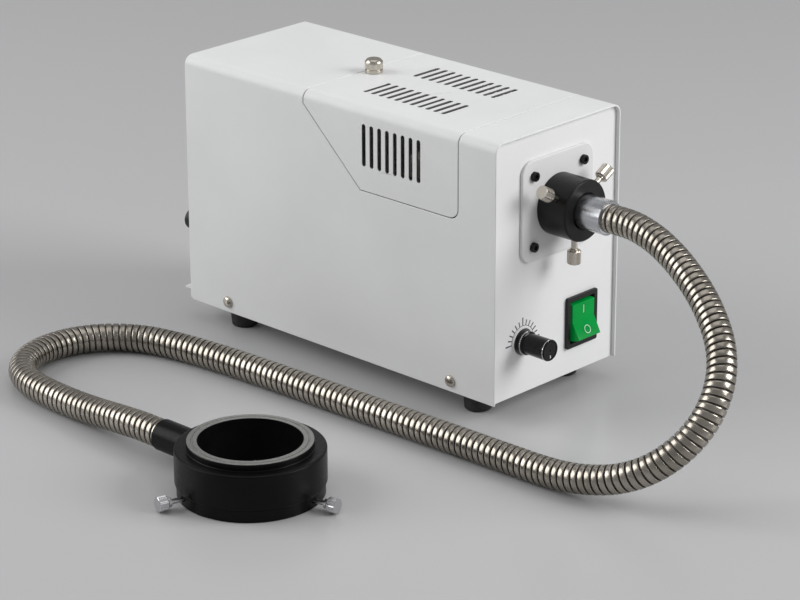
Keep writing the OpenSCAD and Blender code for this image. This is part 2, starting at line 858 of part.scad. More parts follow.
module heat_sink() {
  web = 2.5;
  fins = 7;
  fin_t = 1.4;
  color("silver") translate(sink_at) {
    cube([sink[0], web, sink[2]]);
    for (i = [0 : fins - 1])
      translate([i * (sink[0] - fin_t) / (fins - 1), web - lap, 0])
        cube([fin_t, sink[1] - web + lap, sink[2]]);
  }
}

module board_parts() {
  top = board_z + board_t;
  triac = [10, 4.5, 20];
  film_cap = [11, 24, 16];
  can_r = 6.5;
  can_h = 22;
  choke_r = 6;
  choke_tube_r = 4;
  parts_x = 17;
  color([0.15, 0.15, 0.18]) {
    // Power switch bolted to the back of the heat sink
    translate([sink_at[0] + (sink[0] - triac[0]) / 2, sink_at[1] - triac[1] - slip, top]) cube(triac);
    // Suppression capacitor, smoothing capacitor and choke
    translate([parts_x - film_cap[0], board_y + board[1] / 6, top]) cube(film_cap);
    translate([parts_x - can_r / 2, board_y + board[1] * 0.77, top]) cylinder(r = can_r, h = can_h);
    translate([parts_x + 2 * choke_r, board_y + board[1] * 0.4, top + choke_tube_r])
      rotate_extrude() translate([choke_r, 0]) circle(choke_tube_r);
  }
}

// ---- Dimmer control ----

knob_back = panel_face - 3.2;
knob_face = knob_back - knob_l;
shaft_r = 3;
shaft_tip = knob_face + 6;
pot_can_r = 8.2;
pot_can_l = 9;
bushing_tip = panel_face - 5;

module dimmer_pot() {
  color("silver") difference() {
    union() {
      bar_y(-dimmer_x, controls_z, panel_back, panel_back + pot_can_l, pot_can_r);
      bar_y(-dimmer_x, controls_z, bushing_tip, panel_back + lap, pot_bushing_r);
    }
    bar_y(-dimmer_x, controls_z, bushing_tip - cut, panel_back + 5, shaft_r + pin_gap);
  }
}

module pot_nut() {
  washer_r = 7.8;
  washer_t = 0.5;
  nut_r = 5.2;
  nut_h = 2;
  color("silver") difference() {
    union() {
      bar_y(-dimmer_x, controls_z, panel_face - washer_t, panel_face, washer_r);
      translate([-dimmer_x, panel_face - washer_t + lap, controls_z]) rotate([90, 0, 0])
        cylinder(r = nut_r, h = nut_h, $fn = 6);
    }
    bar_y(-dimmer_x, controls_z, bushing_tip - cut, panel_back, pot_bushing_r + pin_gap);
  }
}

module pot_shaft() {
  color("silver") bar_y(-dimmer_x, controls_z, shaft_tip, panel_back + 4.6, shaft_r);
}

module dimmer_knob() {
  skirt_r = knob_r + 1.3;
  skirt_l = 1.8;
  edge = 0.6;
  recess_r = 5.9;
  color([0.04, 0.04, 0.04]) difference() {
    turned_y(-dimmer_x, knob_face, controls_z) polygon([
      [0, 0], [knob_r - edge, 0], [knob_r, edge], [knob_r + 0.6, knob_l - skirt_l],
      [skirt_r, knob_l - skirt_l], [skirt_r, knob_l], [0, knob_l]
    ]);
    bar_y(-dimmer_x, controls_z, knob_back - 3.2, knob_back + cut, recess_r);
    bar_y(-dimmer_x, controls_z, shaft_tip - slip, knob_back, shaft_r + 0.02);
    translate([-dimmer_x, knob_face - cut, controls_z - knob_r / 2 - cut])
      cube([0.9, 2 * cut + 0.6, knob_r], center = true);
  }
}

// ---- Mains switch ----

rocker_r = switch_open_h / 2 - 0.2;
rocker_w = switch_open_w - 0.8;
rocker_lift = 0.7;
rocker_pin_r = 1.5;
// How far the rocker's pins, and the room for them, reach into the walls of the case
pin_reach = 1;

module switch_body() {
  case_l = 20;
  floor_t = 2;
  corner_r = 1.2;
  blade = [0.8, 8, 6.3];
  blade_pitch = [10, 14];
  socket_l = switch_open_w + 2 * pin_reach;
  color([0.05, 0.05, 0.05]) difference() {
    union() {
      panel_shape(panel_face - bezel_t, panel_face) translate([switch_x, controls_z])
        round_rect(bezel_w, bezel_h, corner_r);
      panel_shape(panel_face - lap, panel_back + case_l) translate([switch_x, controls_z])
        square([switch_case_w, switch_case_h], center = true);
    }
    panel_shape(panel_face - bezel_t - cut, panel_back + case_l - floor_t)
      translate([switch_x, controls_z]) square([switch_open_w, switch_open_h], center = true);
    translate([switch_x - socket_l / 2, panel_face, controls_z]) rotate([0, 90, 0])
      cylinder(r = rocker_pin_r + pin_gap, h = socket_l);
  }
  color("goldenrod") for (x = [-1, 1], z = [-1, 1])
    translate([switch_x + x * blade_pitch[0] / 2, panel_back + case_l + blade[1] / 2 - lap,
      controls_z + z * blade_pitch[1] / 2]) cube(blade, center = true);
}

module switch_rocker() {
  half = rocker_travel / 2;
  peak = (bezel_t + rocker_lift) / cos(half);
  reach = rocker_r + 1;
  tip = peak + reach * tan(half);
  root = 6;
  pins_l = switch_open_w + 2 * pin_reach - 0.4;
  color([0, 0.6, 0.25]) {
    translate([switch_x - rocker_w / 2, panel_face, controls_z]) rotate([90, 0, 90])
      linear_extrude(rocker_w) rotate(-half) intersection() {
        circle(rocker_r);
        polygon([[-tip, reach], [-peak, 0], [-tip, -reach], [root, -reach], [root, reach]]);
      }
    translate([switch_x - pins_l / 2, panel_face, controls_z]) rotate([0, 90, 0])
      cylinder(r = rocker_pin_r, h = pins_l);
  }
}

// ---- Fan ----

fan_front = rear_inner - fan_depth;
hub_r = 19;
fan_shaft_r = 2;
stator_r = 13;

module fan_frame() {
  strut_w = 5;
  strut_t = 3;
  color([0.08, 0.08, 0.08]) {
    panel_shape(fan_front, rear_inner) difference() {
      translate([0, fan_z]) round_rect(fan_side, fan_side, 4);
      translate([0, fan_z]) circle(fan_bore_r);
      fan_screw_places() circle(m4_hole_r);
    }
    panel_shape(rear_inner - strut_t, rear_inner) translate([0, fan_z]) difference() {
      union() {
        circle(hub_r);
        for (a = [45, 135]) rotate(a)
          square([2 * fan_bore_r + 2 * lap, strut_w], center = true);
      }
      circle(fan_shaft_r + pin_gap);
    }
    panel_shape(fan_front + 8, rear_inner - strut_t + lap) translate([0, fan_z]) difference() {
      circle(stator_r);
      circle(fan_shaft_r + pin_gap);
    }
  }
}

module fan_rotor() {
  blades = 7;
  blade_r = fan_bore_r - 0.9;
  blade_w = 32;
  blade_t = 1.6;
  blade_pitch = 42;
  depth = fan_depth - 7;
  cup_r = hub_r - 0.5;
  color([0.1, 0.1, 0.1]) translate([0, fan_front + 1.5, fan_z]) rotate([-90, 0, 0]) {
    rotate_extrude() polygon([
      [0, 0], [cup_r, 0], [cup_r, depth], [cup_r - 2, depth], [cup_r - 2, 3], [fan_shaft_r, 3],
      [fan_shaft_r, depth + 2], [0, depth + 2]
    ]);
    difference() {
      intersection() {
        cylinder(r = blade_r, h = depth);
        for (i = [0 : blades - 1]) rotate(i * 360 / blades) translate([cup_r - 1, 0, depth / 2])
          rotate([blade_pitch, 0, 0]) translate([0, -blade_w / 2, -blade_t / 2])
            cube([fan_bore_r, blade_w, blade_t]);
      }
      translate([0, 0, -cut]) cylinder(r = cup_r - lap, h = depth + 2 * cut);
    }
  }
}

wire_r = 0.9;
guard_y = rear_face + wire_r + 0.1;

module fan_guard() {
  ring_lift = 1.5;
  eye_r = 3.2;
  color("silver") {
    for (r = [9, 18.5, 28, fan_bore_r]) translate([0, guard_y + ring_lift, fan_z])
      rotate([90, 0, 0]) rotate_extrude() translate([r, 0]) circle(wire_r);
    for (a = [45, 135, 225, 315]) translate([0, guard_y, fan_z]) rotate([0, a, 0])
      translate([8, 0, 0]) rotate([0, 90, 0])
        cylinder(r = wire_r, h = fan_pitch / 2 * sqrt(2) - 8 - eye_r);
    for (x = [-1, 1], z = [-1, 1])
      translate([x * fan_pitch / 2, guard_y, fan_z + z * fan_pitch / 2]) rotate([90, 0, 0])
        rotate_extrude() translate([eye_r, 0]) circle(wire_r);
  }
}

module fan_screws() {
  head_y = guard_y + wire_r + 0.1;
  head_h = 2.6;
  color("silver") {
    panel_shape(head_y, head_y + head_h) fan_screw_places() circle(3.8);
    panel_shape(fan_front - 5, head_y + lap) fan_screw_places() circle(m4_r);
    panel_shape(fan_front - 3.2, fan_front) fan_screw_places() circle(4, $fn = 6);
  }
}

// ---- Mains inlet and fuse ----

inlet_face = rear_face + 3;
inlet_back = rear_inner - 18;
inlet_recess = [24, 16.5];
inlet_recess_l = 17;

module inlet_screw_bores(r) {
  panel_shape(rear_face - cut, inlet_face + cut) inlet_screw_places() circle(r);
}

module mains_inlet() {
  color([0.06, 0.06, 0.06]) difference() {
    union() {
      panel_shape(rear_face, inlet_face) translate([inlet_x, inlet_z])
        round_rect(inlet_flange[0], inlet_flange[1], 5);
      panel_shape(inlet_back, rear_face + lap) translate([inlet_x, inlet_z])
        square(inlet_case, center = true);
    }
    panel_shape(inlet_face - inlet_recess_l, inlet_face + cut) translate([inlet_x, inlet_z])
      square(inlet_recess, center = true);
    inlet_screw_bores(m3_hole_r);
    inlet_blades(0.02);
  }
}

// The three contact blades: two side by side, and the earth between and above them
module inlet_blades(room) {
  blade = [2, 4];
  for (at = [[-7, -2], [7, -2], [0, 2]])
    panel_shape(inlet_back - 8, inlet_face - 8) translate([inlet_x + at[0], inlet_z + at[1]])
      square(blade + [2 * room, 2 * room], center = true);
}

module inlet_pins() {
  color("silver") inlet_blades(0);
}

module inlet_screws() {
  color("silver") {
    panel_shape(inlet_face, inlet_face + 1.8) inlet_screw_places() circle(2.8);
    panel_shape(rear_inner - 5, inlet_face + lap) inlet_screw_places() circle(m3_r);
    panel_shape(rear_inner - 2.4, rear_inner) inlet_screw_places() circle(3.1, $fn = 6);
  }
}

fuse_mouth_r = 4.8;
fuse_flange_t = 2;
fuse_bore_r = 3;
fuse_depth = 30;
fuse_floor = 2;

module fuse_holder() {
  flange_r = fuse_cap_r + 1;
  color([0.06, 0.06, 0.06]) turned_y(-fuse_x, rear_inner - fuse_depth, fuse_z) polygon([
    [0, 0], [fuse_tube_r, 0], [fuse_tube_r, fuse_depth + panel_t],
    [flange_r, fuse_depth + panel_t], [flange_r, fuse_depth + panel_t + fuse_flange_t],
    [fuse_mouth_r, fuse_depth + panel_t + fuse_flange_t], [fuse_mouth_r, fuse_depth - 4],
    [fuse_bore_r, fuse_depth - 4], [fuse_bore_r, fuse_floor], [0, fuse_floor]
  ]);
}

module fuse_cap() {
  back = rear_face + fuse_flange_t + stop_gap;
  cap_l = 12;
  grip = 1;
  plug_l = 6;
  color([0.05, 0.05, 0.05]) difference() {
    union() {
      turned_y(-fuse_x, back, fuse_z) polygon([
        [0, 0], [fuse_cap_r, 0], [fuse_cap_r, cap_l - grip], [fuse_cap_r - grip, cap_l], [0, cap_l]
      ]);
      bar_y(-fuse_x, fuse_z, back - plug_l, back + lap, fuse_mouth_r - stop_gap);
    }
    translate([-fuse_x, back + cap_l, fuse_z]) cube([1.4, 2.4, 9], center = true);
  }
}

module fuse_link() {
  color("silver") bar_y(-fuse_x, fuse_z, rear_inner - fuse_depth + fuse_floor, rear_inner - 4,
    fuse_bore_r - slip);
}

// ---- Light guide ----

// Route of the conduit: out of the ferrule, over and down to the bench, back beside
// the lamp house, round a loop and into the ring head's neck
conduit_path = [
  [0, -34, 121], [0, -43, 121], [0, -52, 120.9], [-1, -62, 119.9], [-3.4, -76, 116.9],
  [-8, -93, 111.2], [-14.8, -111.5, 103.1], [-22.6, -127.8, 93.7], [-31.4, -141.4, 83],
  [-41.2, -150.3, 71.2], [-51.6, -153.8, 58.6], [-62, -152.2, 46.1], [-71.8, -145.4, 34.3],
  [-80, -134.4, 24.2], [-86, -120.5, 17], [-89.8, -104.6, 12.4], [-91.8, -87, 9.6],
  [-92.6, -69, 8.5], [-93, -50, 8.4], [-94, -12, 8.4], [-95.5, 40, 8.4], [-97, 90, 8.4],
  [-98.6, 140, 8.4], [-100.6, 175, 8.4], [-103.6, 202, 8.4], [-108.6, 224, 8.4],
  [-116.8, 239.6, 8.4], [-129, 251.4, 8.4], [-144.5, 258.4, 8.4], [-161.5, 259.8, 8.4],
  [-177.5, 255.6, 8.4], [-190.6, 246, 8.4], [-199.4, 231.6, 8.4], [-203.4, 214, 8.4],
  [-205, 190, 8.6], [-206, 165, 9.8], [-206.8, 142, 11.9], [-207, 124, 13], [-207, 107, 13]
];
guide_start = conduit_path[0];
guide_end = conduit_path[len(conduit_path) - 1];

// The ring head lies where the guide ends
ring_neck_l = 70;
ring_at = [guide_end[0], guide_end[1] - ring_neck_l, 0];
neck_z = guide_end[2];
ferrule_end = guide_start[1];
ferrule_tip = collar_face + ferrule_in;

// A smooth curve through the points of a route
function route_point(p, i, t) =
  let (
    b = p[i], c = p[i + 1],
    a = i == 0 ? 2 * b - c : p[i - 1],
    d = i + 2 == len(p) ? 2 * c - b : p[i + 2]
  ) (2 * b + (c - a) * t + (2 * a - 5 * b + 4 * c - d) * pow(t, 2)
    + (3 * b - a - 3 * c + d) * pow(t, 3)) / 2;
function route_curve(p, steps) = [
  for (i = [0 : len(p) - 2], k = [0 : steps - 1]) route_point(p, i, k / steps),
  p[len(p) - 1]
];

// Distance along a curve at each of its points
function distances(c) = [
  for (i = 0, s = 0; i < len(c); s = s + (i + 1 < len(c) ? norm(c[i + 1] - c[i]) : 0), i = i + 1) s
];

// A table of a curve by distance, one list for each axis
function curve_tables(c) = let (s = distances(c)) [
  for (axis = [0 : 2]) [for (i = [0 : len(c) - 1]) [s[i], c[i][axis]]]
];
function curve_length(tables) = tables[0][len(tables[0]) - 1][0];
function curve_at(tables, s) = [for (axis = [0 : 2]) lookup(s, tables[axis])];
function unit(v) = v / norm(v);

// A ring of points square to the curve
function tube_ring(tables, s, r, sides) =
  let (
    step = 0.5,
    l = curve_length(tables),
    s0 = max(s - step, 0),
    s1 = min(s + step, l),
    along = unit(curve_at(tables, s1) - curve_at(tables, s0)),
    across = unit(cross([0, 0, 1], along)),
    up = cross(along, across),
    middle = curve_at(tables, s)
  ) [for (k = [0 : sides - 1])
    let (a = 360 * (k + 0.5) / sides) middle + r * (cos(a) * across + sin(a) * up)];

// Triangles between ring i and ring i + 1, facing outward or inward
function band(i, sides, first, inward) = [
  for (k = [0 : sides - 1])
    let (
      a = first + i * sides + k,
      b = first + i * sides + (k + 1) % sides,
      c = a + sides,
      d = b + sides
    ) each inward ? [[a, b, c], [b, d, c]] : [[a, c, b], [b, c, d]]
];

tube_sides = 8;
conduit_tables = curve_tables(route_curve(conduit_path, 12));
conduit_length = curve_length(conduit_tables);
echo(conduit_length = conduit_length);

// Two rings to each rib: one on its crest and one in the groove behind it
module light_guide_conduit() {
  n = tube_sides;
  outer_rings = 2 * conduit_ribs + 1;
  bore_rings = 61;
  bore_first = outer_rings * n;
  outer = [for (i = [0 : outer_rings - 1]) each tube_ring(conduit_tables,
    conduit_length * i / (outer_rings - 1), i % 2 == 0 ? conduit_root_r : conduit_r, n)];
  bore = [for (i = [0 : bore_rings - 1]) each tube_ring(conduit_tables,
    conduit_length * i / (bore_rings - 1), conduit_bore_r, n)];
  start_cap = [for (k = [0 : n - 1]) let (j = (k + 1) % n)
    each [[k, j, bore_first + k], [j, bore_first + j, bore_first + k]]];
  o = (outer_rings - 1) * n;
  b = bore_first + (bore_rings - 1) * n;
  end_cap = [for (k = [0 : n - 1]) let (j = (k + 1) % n)
    each [[o + k, b + k, o + j], [o + j, b + k, b + j]]];
  color("silver") polyhedron(
    points = concat(outer, bore),
    faces = concat(
      [for (i = [0 : outer_rings - 2]) each band(i, n, 0, false)],
      [for (i = [0 : bore_rings - 2]) each band(i, n, bore_first, true)],
      start_cap, end_cap
    )
  );
}

// The bundle runs on through the neck to the fibres in the ring head
bundle_path = concat(conduit_path, [
  [guide_end[0], guide_end[1] - 14, neck_z],
  [guide_end[0], ring_at[1] + ring_r - ring_wall - 0.5, neck_z]
]);
bundle_tables = curve_tables(route_curve(bundle_path, 8));

module fibre_bundle() {
  n = tube_sides;
  rings = 80;
  l = curve_length(bundle_tables);
  r = bundle_r - 0.1;
  points = [for (i = [0 : rings - 1]) each tube_ring(bundle_tables, l * i / (rings - 1), r, n)];
  last = (rings - 1) * n;
  color("whitesmoke") polyhedron(
    points = points,
    faces = concat(
      [for (i = [0 : rings - 2]) each band(i, n, 0, false)],
      [[for (k = [0 : n - 1]) k]],
      [[for (k = [0 : n - 1]) last + n - 1 - k]]
    )
  );
}

module guide_ferrule() {
  edge = 0.8;
  l = ferrule_tip - ferrule_end;
  bore_r = bundle_r + 0.05;
  color("silver") turned_y(0, ferrule_end, port_z) polygon([
    [bore_r, 0], [ferrule_r - 0.2, 0], [ferrule_r, 0.2], [ferrule_r, l - edge],
    [ferrule_r - edge, l], [bore_r, l]
  ]);
}

// The ground and bonded end of the bundle
module fibre_input() {
  color("whitesmoke") bar_y(0, port_z, ferrule_end, ferrule_tip, bundle_r);
}

module neck_tube() {
  spigot_r = 5.4;
  bore_r = bundle_r + 0.2;
  wall_in = ring_r - ring_wall;
  color([0.05, 0.05, 0.05]) difference() {
    union() {
      difference() {
        bar_y(guide_end[0], neck_z, ring_at[1] + wall_in, guide_end[1], neck_r);
        translate([ring_at[0], ring_at[1], 0]) cylinder(r = ring_r + 0.02, h = ring_h);
      }
      bar_y(guide_end[0], neck_z, ring_at[1] + wall_in + 0.2, ring_at[1] + ring_r + 1, spigot_r);
    }
    bar_y(guide_end[0], neck_z, ring_at[1], guide_end[1] + cut, bore_r);
  }
}

// ---- Ring head ----

sleeve_r = ring_bore_r + sleeve_t;
rim_in = sleeve_r + fibre_line;
rim_r = rim_in + rim_t;
band_r = ring_r - 1;
ring_screw_angles = [162, 282, 42];

module ring_turned() {
  translate(ring_at) rotate_extrude() children();
}

module ring_screw_bores() {
  for (a = ring_screw_angles) translate([ring_at[0], ring_at[1], ring_screw_h]) rotate([0, 90, a])
    cylinder(r = ring_shank_r + pin_gap, h = ring_r + cut);
}

module ring_housing() {
  edge = 0.6;
  wall_in = ring_r - ring_wall;
  web_z = ring_body_h - ring_wall;
  rim_low = web_z - 4.5;
  color([0.05, 0.05, 0.05]) difference() {
    ring_turned() polygon([
      [wall_in, base_band_h], [ring_r - edge, base_band_h], [ring_r, base_band_h + edge],
      [ring_r, ring_body_h - edge], [ring_r - edge, ring_body_h], [rim_r, ring_body_h],
      [rim_r, ring_h], [rim_in, ring_h], [rim_in, rim_low], [rim_r, rim_low],
      [rim_r, web_z], [wall_in, web_z]
    ]);
    bar_y(ring_at[0], neck_z, ring_at[1] + rim_r, ring_at[1] + ring_r + cut, 5.5);
  }
}

module ring_base() {
  edge = 0.5;
  lip_out = ring_r - ring_wall - slip;
  color([0.05, 0.05, 0.05]) difference() {
    ring_turned() polygon([
      [sleeve_r + 0.05, 0], [band_r - edge, 0], [band_r, edge], [band_r, base_band_h],
      [lip_out, base_band_h], [lip_out, base_band_h + 1.2], [lip_out - 2.5, base_band_h + 1.2],
      [lip_out - 2.5, base_band_h], [sleeve_r + 0.05, base_band_h]
    ]);
    ring_screw_bores();
  }
}

module ring_sleeve() {
  color([0.05, 0.05, 0.05]) difference() {
    ring_turned() translate([ring_bore_r, 0]) square([sleeve_t, ring_h]);
    ring_screw_bores();
  }
}

// The fibres, spread round the head and ended in a line in its light face
module fibre_ring() {
  low = base_band_h + 1.5;
  spread_h = 5;
  gather_h = 10;
  flare_r = ring_r - ring_wall - 1.2;
  color("whitesmoke") ring_turned() polygon([
    [sleeve_r + 0.03, low], [flare_r, low], [flare_r, low + spread_h], [rim_in - 0.03, low + gather_h],
    [rim_in - 0.03, ring_h], [sleeve_r + 0.03, ring_h]
  ]);
}

module ring_screw(angle) {
  tip = ring_bore_r + 0.9;
  step = ring_r + 6.2;
  head = step + 2.2;
  color("silver") translate([ring_at[0], ring_at[1], ring_screw_h]) rotate([0, 0, angle])
    thumb_screw(tip, step, head, ring_head_l, ring_shank_r, ring_head_r);
}

module ring_screw_left() { ring_screw(ring_screw_angles[0]); }
module ring_screw_front() { ring_screw(ring_screw_angles[1]); }
module ring_screw_right() { ring_screw(ring_screw_angles[2]); }

// ---- The part, moved so that its origin is the middle of its footprint ----

module placed() {
  translate([-origin_x, -origin_y, 0]) children();
}

placed() housing_shell();
placed() base_tray();
placed() front_panel();
placed() rear_panel();
placed() rubber_feet();
placed() foot_screws();
placed() side_screws();
placed() lamp_cover();
placed() cover_screw();
placed() cover_bracket();
placed() hinge_lugs();
placed() hinge_pins();
placed() port_plate();
placed() port_screws();
placed() port_collar();
placed() collar_screw_left();
placed() collar_screw_right();
placed() collar_screw_lower();
placed() filter_spacers();
placed() filter_holder();
placed() heat_filter();
placed() lamp_reflector();
placed() lamp_bulb();
placed() lamp_socket();
placed() lamp_bracket();
placed() transformer_core();
placed() transformer_coil();
placed() transformer_bolts();
placed() dimmer_board();
placed() board_spacers();
placed() heat_sink();
placed() board_parts();
placed() dimmer_pot();
placed() pot_nut();
placed() pot_shaft();
placed() dimmer_knob();
placed() switch_body();
placed() switch_rocker();
placed() fan_frame();
placed() fan_rotor();
placed() fan_guard();
placed() fan_screws();
placed() mains_inlet();
placed() inlet_pins();
placed() inlet_screws();
placed() fuse_holder();
placed() fuse_cap();
placed() fuse_link();
placed() guide_ferrule();
placed() fibre_input();
placed() light_guide_conduit();
placed() fibre_bundle();
placed() neck_tube();
placed() ring_housing();
placed() ring_base();
placed() ring_sleeve();
placed() fibre_ring();
placed() ring_screw_left();
placed() ring_screw_front();
placed() ring_screw_right();
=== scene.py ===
"""Fibre optic illuminator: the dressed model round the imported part, in metres in its frame."""
import math

import bmesh
import bpy
from mathutils import Matrix, Vector


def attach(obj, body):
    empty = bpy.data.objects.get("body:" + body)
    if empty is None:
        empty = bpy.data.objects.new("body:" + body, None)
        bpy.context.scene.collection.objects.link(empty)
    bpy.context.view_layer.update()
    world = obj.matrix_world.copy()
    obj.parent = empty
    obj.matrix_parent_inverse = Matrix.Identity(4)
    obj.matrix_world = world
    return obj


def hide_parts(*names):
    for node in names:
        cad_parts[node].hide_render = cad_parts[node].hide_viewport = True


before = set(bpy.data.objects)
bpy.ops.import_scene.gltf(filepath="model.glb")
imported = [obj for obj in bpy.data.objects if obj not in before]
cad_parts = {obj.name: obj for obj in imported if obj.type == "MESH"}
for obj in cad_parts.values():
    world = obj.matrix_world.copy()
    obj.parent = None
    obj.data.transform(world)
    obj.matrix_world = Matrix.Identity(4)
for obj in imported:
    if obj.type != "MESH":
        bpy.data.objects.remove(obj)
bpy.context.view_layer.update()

# ---- Camera ----
# A long lens on a tripod, ahead of the lamp house's left front corner and about 0.7 m over
# the bench, as the photograph was taken.
azimuth = math.radians(-46.345)
elevation = math.radians(20.992)
roll = math.radians(-0.157)
lens_place = (-1.18455, -1.22001, 0.71361)
back = Vector((
    math.sin(azimuth) * math.cos(elevation),
    -math.cos(azimuth) * math.cos(elevation),
    math.sin(elevation),
))
level = Vector((math.cos(azimuth), math.sin(azimuth), 0))
upright = back.cross(level)
right = math.cos(roll) * level + math.sin(roll) * upright
up = -math.sin(roll) * level + math.cos(roll) * upright
camera = bpy.data.objects.new("camera", bpy.data.cameras.new("camera"))
camera.data.lens = 143.85
camera.data.sensor_width = 36
camera.data.clip_start = 0.1
camera.data.clip_end = 60
camera_turn = Matrix((right, up, back)).transposed().to_4x4()
camera.matrix_world = Matrix.Translation(lens_place) @ camera_turn
bpy.context.scene.collection.objects.link(camera)
bpy.context.scene.camera = camera

# ---- Shell and tray ----
# Powder-coated steel sheet, 1.2 mm thick. The shell is bent over the top and both sides, cut
# out for the lamp cover, and rounded off at its lower rear corners. Four side screws hold it
# to the upturned walls of the tray.
MM = 0.001
HOUSE_MIDDLE = 104
HOUSE_FRONT = -114


def house(x, y, z):
    """A point measured in millimetres from the bench under the middle of the lamp house's
    front edge, brought to the part's frame in metres."""
    return Vector((x + HOUSE_MIDDLE, y + HOUSE_FRONT, z)) * MM


def new_finish(name, colour, roughness, metallic=0.0, **sockets):
    """A material whose colour, roughness and other sockets are set on the shader itself."""
    material = bpy.data.materials.new(name)
    material.use_nodes = True
    shader = material.node_tree.nodes["Principled BSDF"]
    shader.inputs["Base Color"].default_value = (*colour, 1)
    shader.inputs["Roughness"].default_value = roughness
    shader.inputs["Metallic"].default_value = metallic
    for socket, value in sockets.items():
        shader.inputs[socket.replace("_", " ")].default_value = value
    return material


def noise(material, scale, detail=3.0, stretch=(1, 1, 1)):
    """An uneven pattern with about so many spots in a metre. An axis with a stretch under 1
    has its spots drawn out, and one over 1 has them packed closer."""
    nodes = material.node_tree.nodes
    links = material.node_tree.links
    place = nodes.new("ShaderNodeTexCoord")
    spread = nodes.new("ShaderNodeMapping")
    spread.inputs["Scale"].default_value = stretch
    pattern = nodes.new("ShaderNodeTexNoise")
    pattern.inputs["Scale"].default_value = scale
    pattern.inputs["Detail"].default_value = detail
    links.new(place.outputs["Object"], spread.inputs["Vector"])
    links.new(spread.outputs["Vector"], pattern.inputs["Vector"])
    return pattern.outputs["Fac"]


def tint(material, pattern, dark, light, low=0.35, high=0.65):
    """Colour that wanders from one shade to the other as the pattern goes from low to high."""
    nodes = material.node_tree.nodes
    links = material.node_tree.links
    ramp = nodes.new("ShaderNodeValToRGB")
    ramp.color_ramp.elements[0].position = low
    ramp.color_ramp.elements[0].color = (*dark, 1)
    ramp.color_ramp.elements[1].position = high
    ramp.color_ramp.elements[1].color = (*light, 1)
    links.new(pattern, ramp.inputs["Fac"])
    links.new(ramp.outputs["Color"], nodes["Principled BSDF"].inputs["Base Color"])


def polish(material, pattern, low, high):
    """Roughness that wanders between two values as the pattern goes from 0.3 to 0.7."""
    nodes = material.node_tree.nodes
    links = material.node_tree.links
    reach = nodes.new("ShaderNodeMapRange")
    reach.inputs["From Min"].default_value = 0.3
    reach.inputs["From Max"].default_value = 0.7
    reach.inputs["To Min"].default_value = low
    reach.inputs["To Max"].default_value = high
    links.new(pattern, reach.inputs["Value"])
    links.new(reach.outputs["Result"], nodes["Principled BSDF"].inputs["Roughness"])


def relief(material, pattern, depth, strength=1.0):
    """Fine relief of the surface with the pattern, to a depth in millimetres."""
    nodes = material.node_tree.nodes
    links = material.node_tree.links
    bump = nodes.new("ShaderNodeBump")
    bump.inputs["Distance"].default_value = depth * MM
    bump.inputs["Strength"].default_value = strength
    links.new(pattern, bump.inputs["Height"])
    links.new(bump.outputs["Normal"], nodes["Principled BSDF"].inputs["Normal"])


def powder_coat(name, dark, light, gloss):
    """Baked powder coat: an even colour with the faint orange peel of the melted powder."""
    coat = new_finish(name, light, gloss, Specular_IOR_Level=0.3)
    tint(coat, noise(coat, 14), dark, light)
    polish(coat, noise(coat, 90), gloss - 0.04, gloss + 0.05)
    relief(coat, noise(coat, 1300, detail=2), depth=0.03, strength=0.35)
    return coat


def piece(name, bm, finish, body, nodes=(), sharp=30):
    """An object made from a mesh, smooth but for its sharp edges. It rides on its body, and
    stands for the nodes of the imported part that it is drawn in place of."""
    bmesh.ops.recalc_face_normals(bm, faces=bm.faces)
    mesh = bpy.data.meshes.new(name)
    bm.to_mesh(mesh)
    bm.free()
    mesh.polygons.foreach_set("use_smooth", [True] * len(mesh.polygons))
    mesh.set_sharp_from_angle(angle=math.radians(sharp))
    mesh.materials.append(finish)
    made = bpy.data.objects.new(name, mesh)
    bpy.context.scene.collection.objects.link(made)
    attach(made, body)
    if nodes:
        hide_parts(*nodes)
    return made


def ease_edges(made, width, corner=30):
    """Rounds the sharp edges of a piece, by a width in millimetres."""
    bevel = made.modifiers.new("eased edges", "BEVEL")
    bevel.width = width * MM
    bevel.segments = 3
    bevel.limit_method = "ANGLE"
    bevel.angle_limit = math.radians(corner)
    bevel.use_clamp_overlap = False
    bevel.harden_normals = True


def eased(node, name, finish, body, edge, corner=30):
    """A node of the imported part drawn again, with its facets joined up and its edges rounded
    by a width in millimetres."""
    same_place = 0.002 * MM
    same_plane = math.radians(0.3)
    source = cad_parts[node].data
    bm = bmesh.new()
    for vertex in source.vertices:
        bm.verts.new(vertex.co)
    bm.verts.ensure_lookup_table()
    for face in source.polygons:
        bm.faces.new([bm.verts[i] for i in face.vertices])
    bmesh.ops.remove_doubles(bm, verts=bm.verts, dist=same_place)
    bmesh.ops.dissolve_limit(
        bm, angle_limit=same_plane, verts=bm.verts, edges=bm.edges,
        use_dissolve_boundaries=False,
    )
    made = piece(name, bm, finish, body, [node])
    ease_edges(made, edge, corner)
    return made


shell_coat = powder_coat(
    "shell_powder_coat", (0.775, 0.782, 0.778), (0.815, 0.822, 0.818), gloss=0.42
)
shell = eased("housing_shell", "shell", shell_coat, "lamp_house", edge=0.45)
# The real sheet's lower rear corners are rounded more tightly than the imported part's
rear_corner = house(0, 250, 12.8)
wide_radius = 5 * MM
tight_radius = 3 * MM
margin = 0.01 * MM
for vertex in shell.data.vertices:
    behind = vertex.co.y - (rear_corner.y - wide_radius)
    below = vertex.co.z - (rear_corner.z + wide_radius)
    if behind > -margin and below < margin:
        vertex.co.y = rear_corner.y - tight_radius + behind * tight_radius / wide_radius
        vertex.co.z = rear_corner.z + tight_radius + below * tight_radius / wide_radius
eased("base_tray", "tray", shell_coat, "lamp_house", edge=0.3)

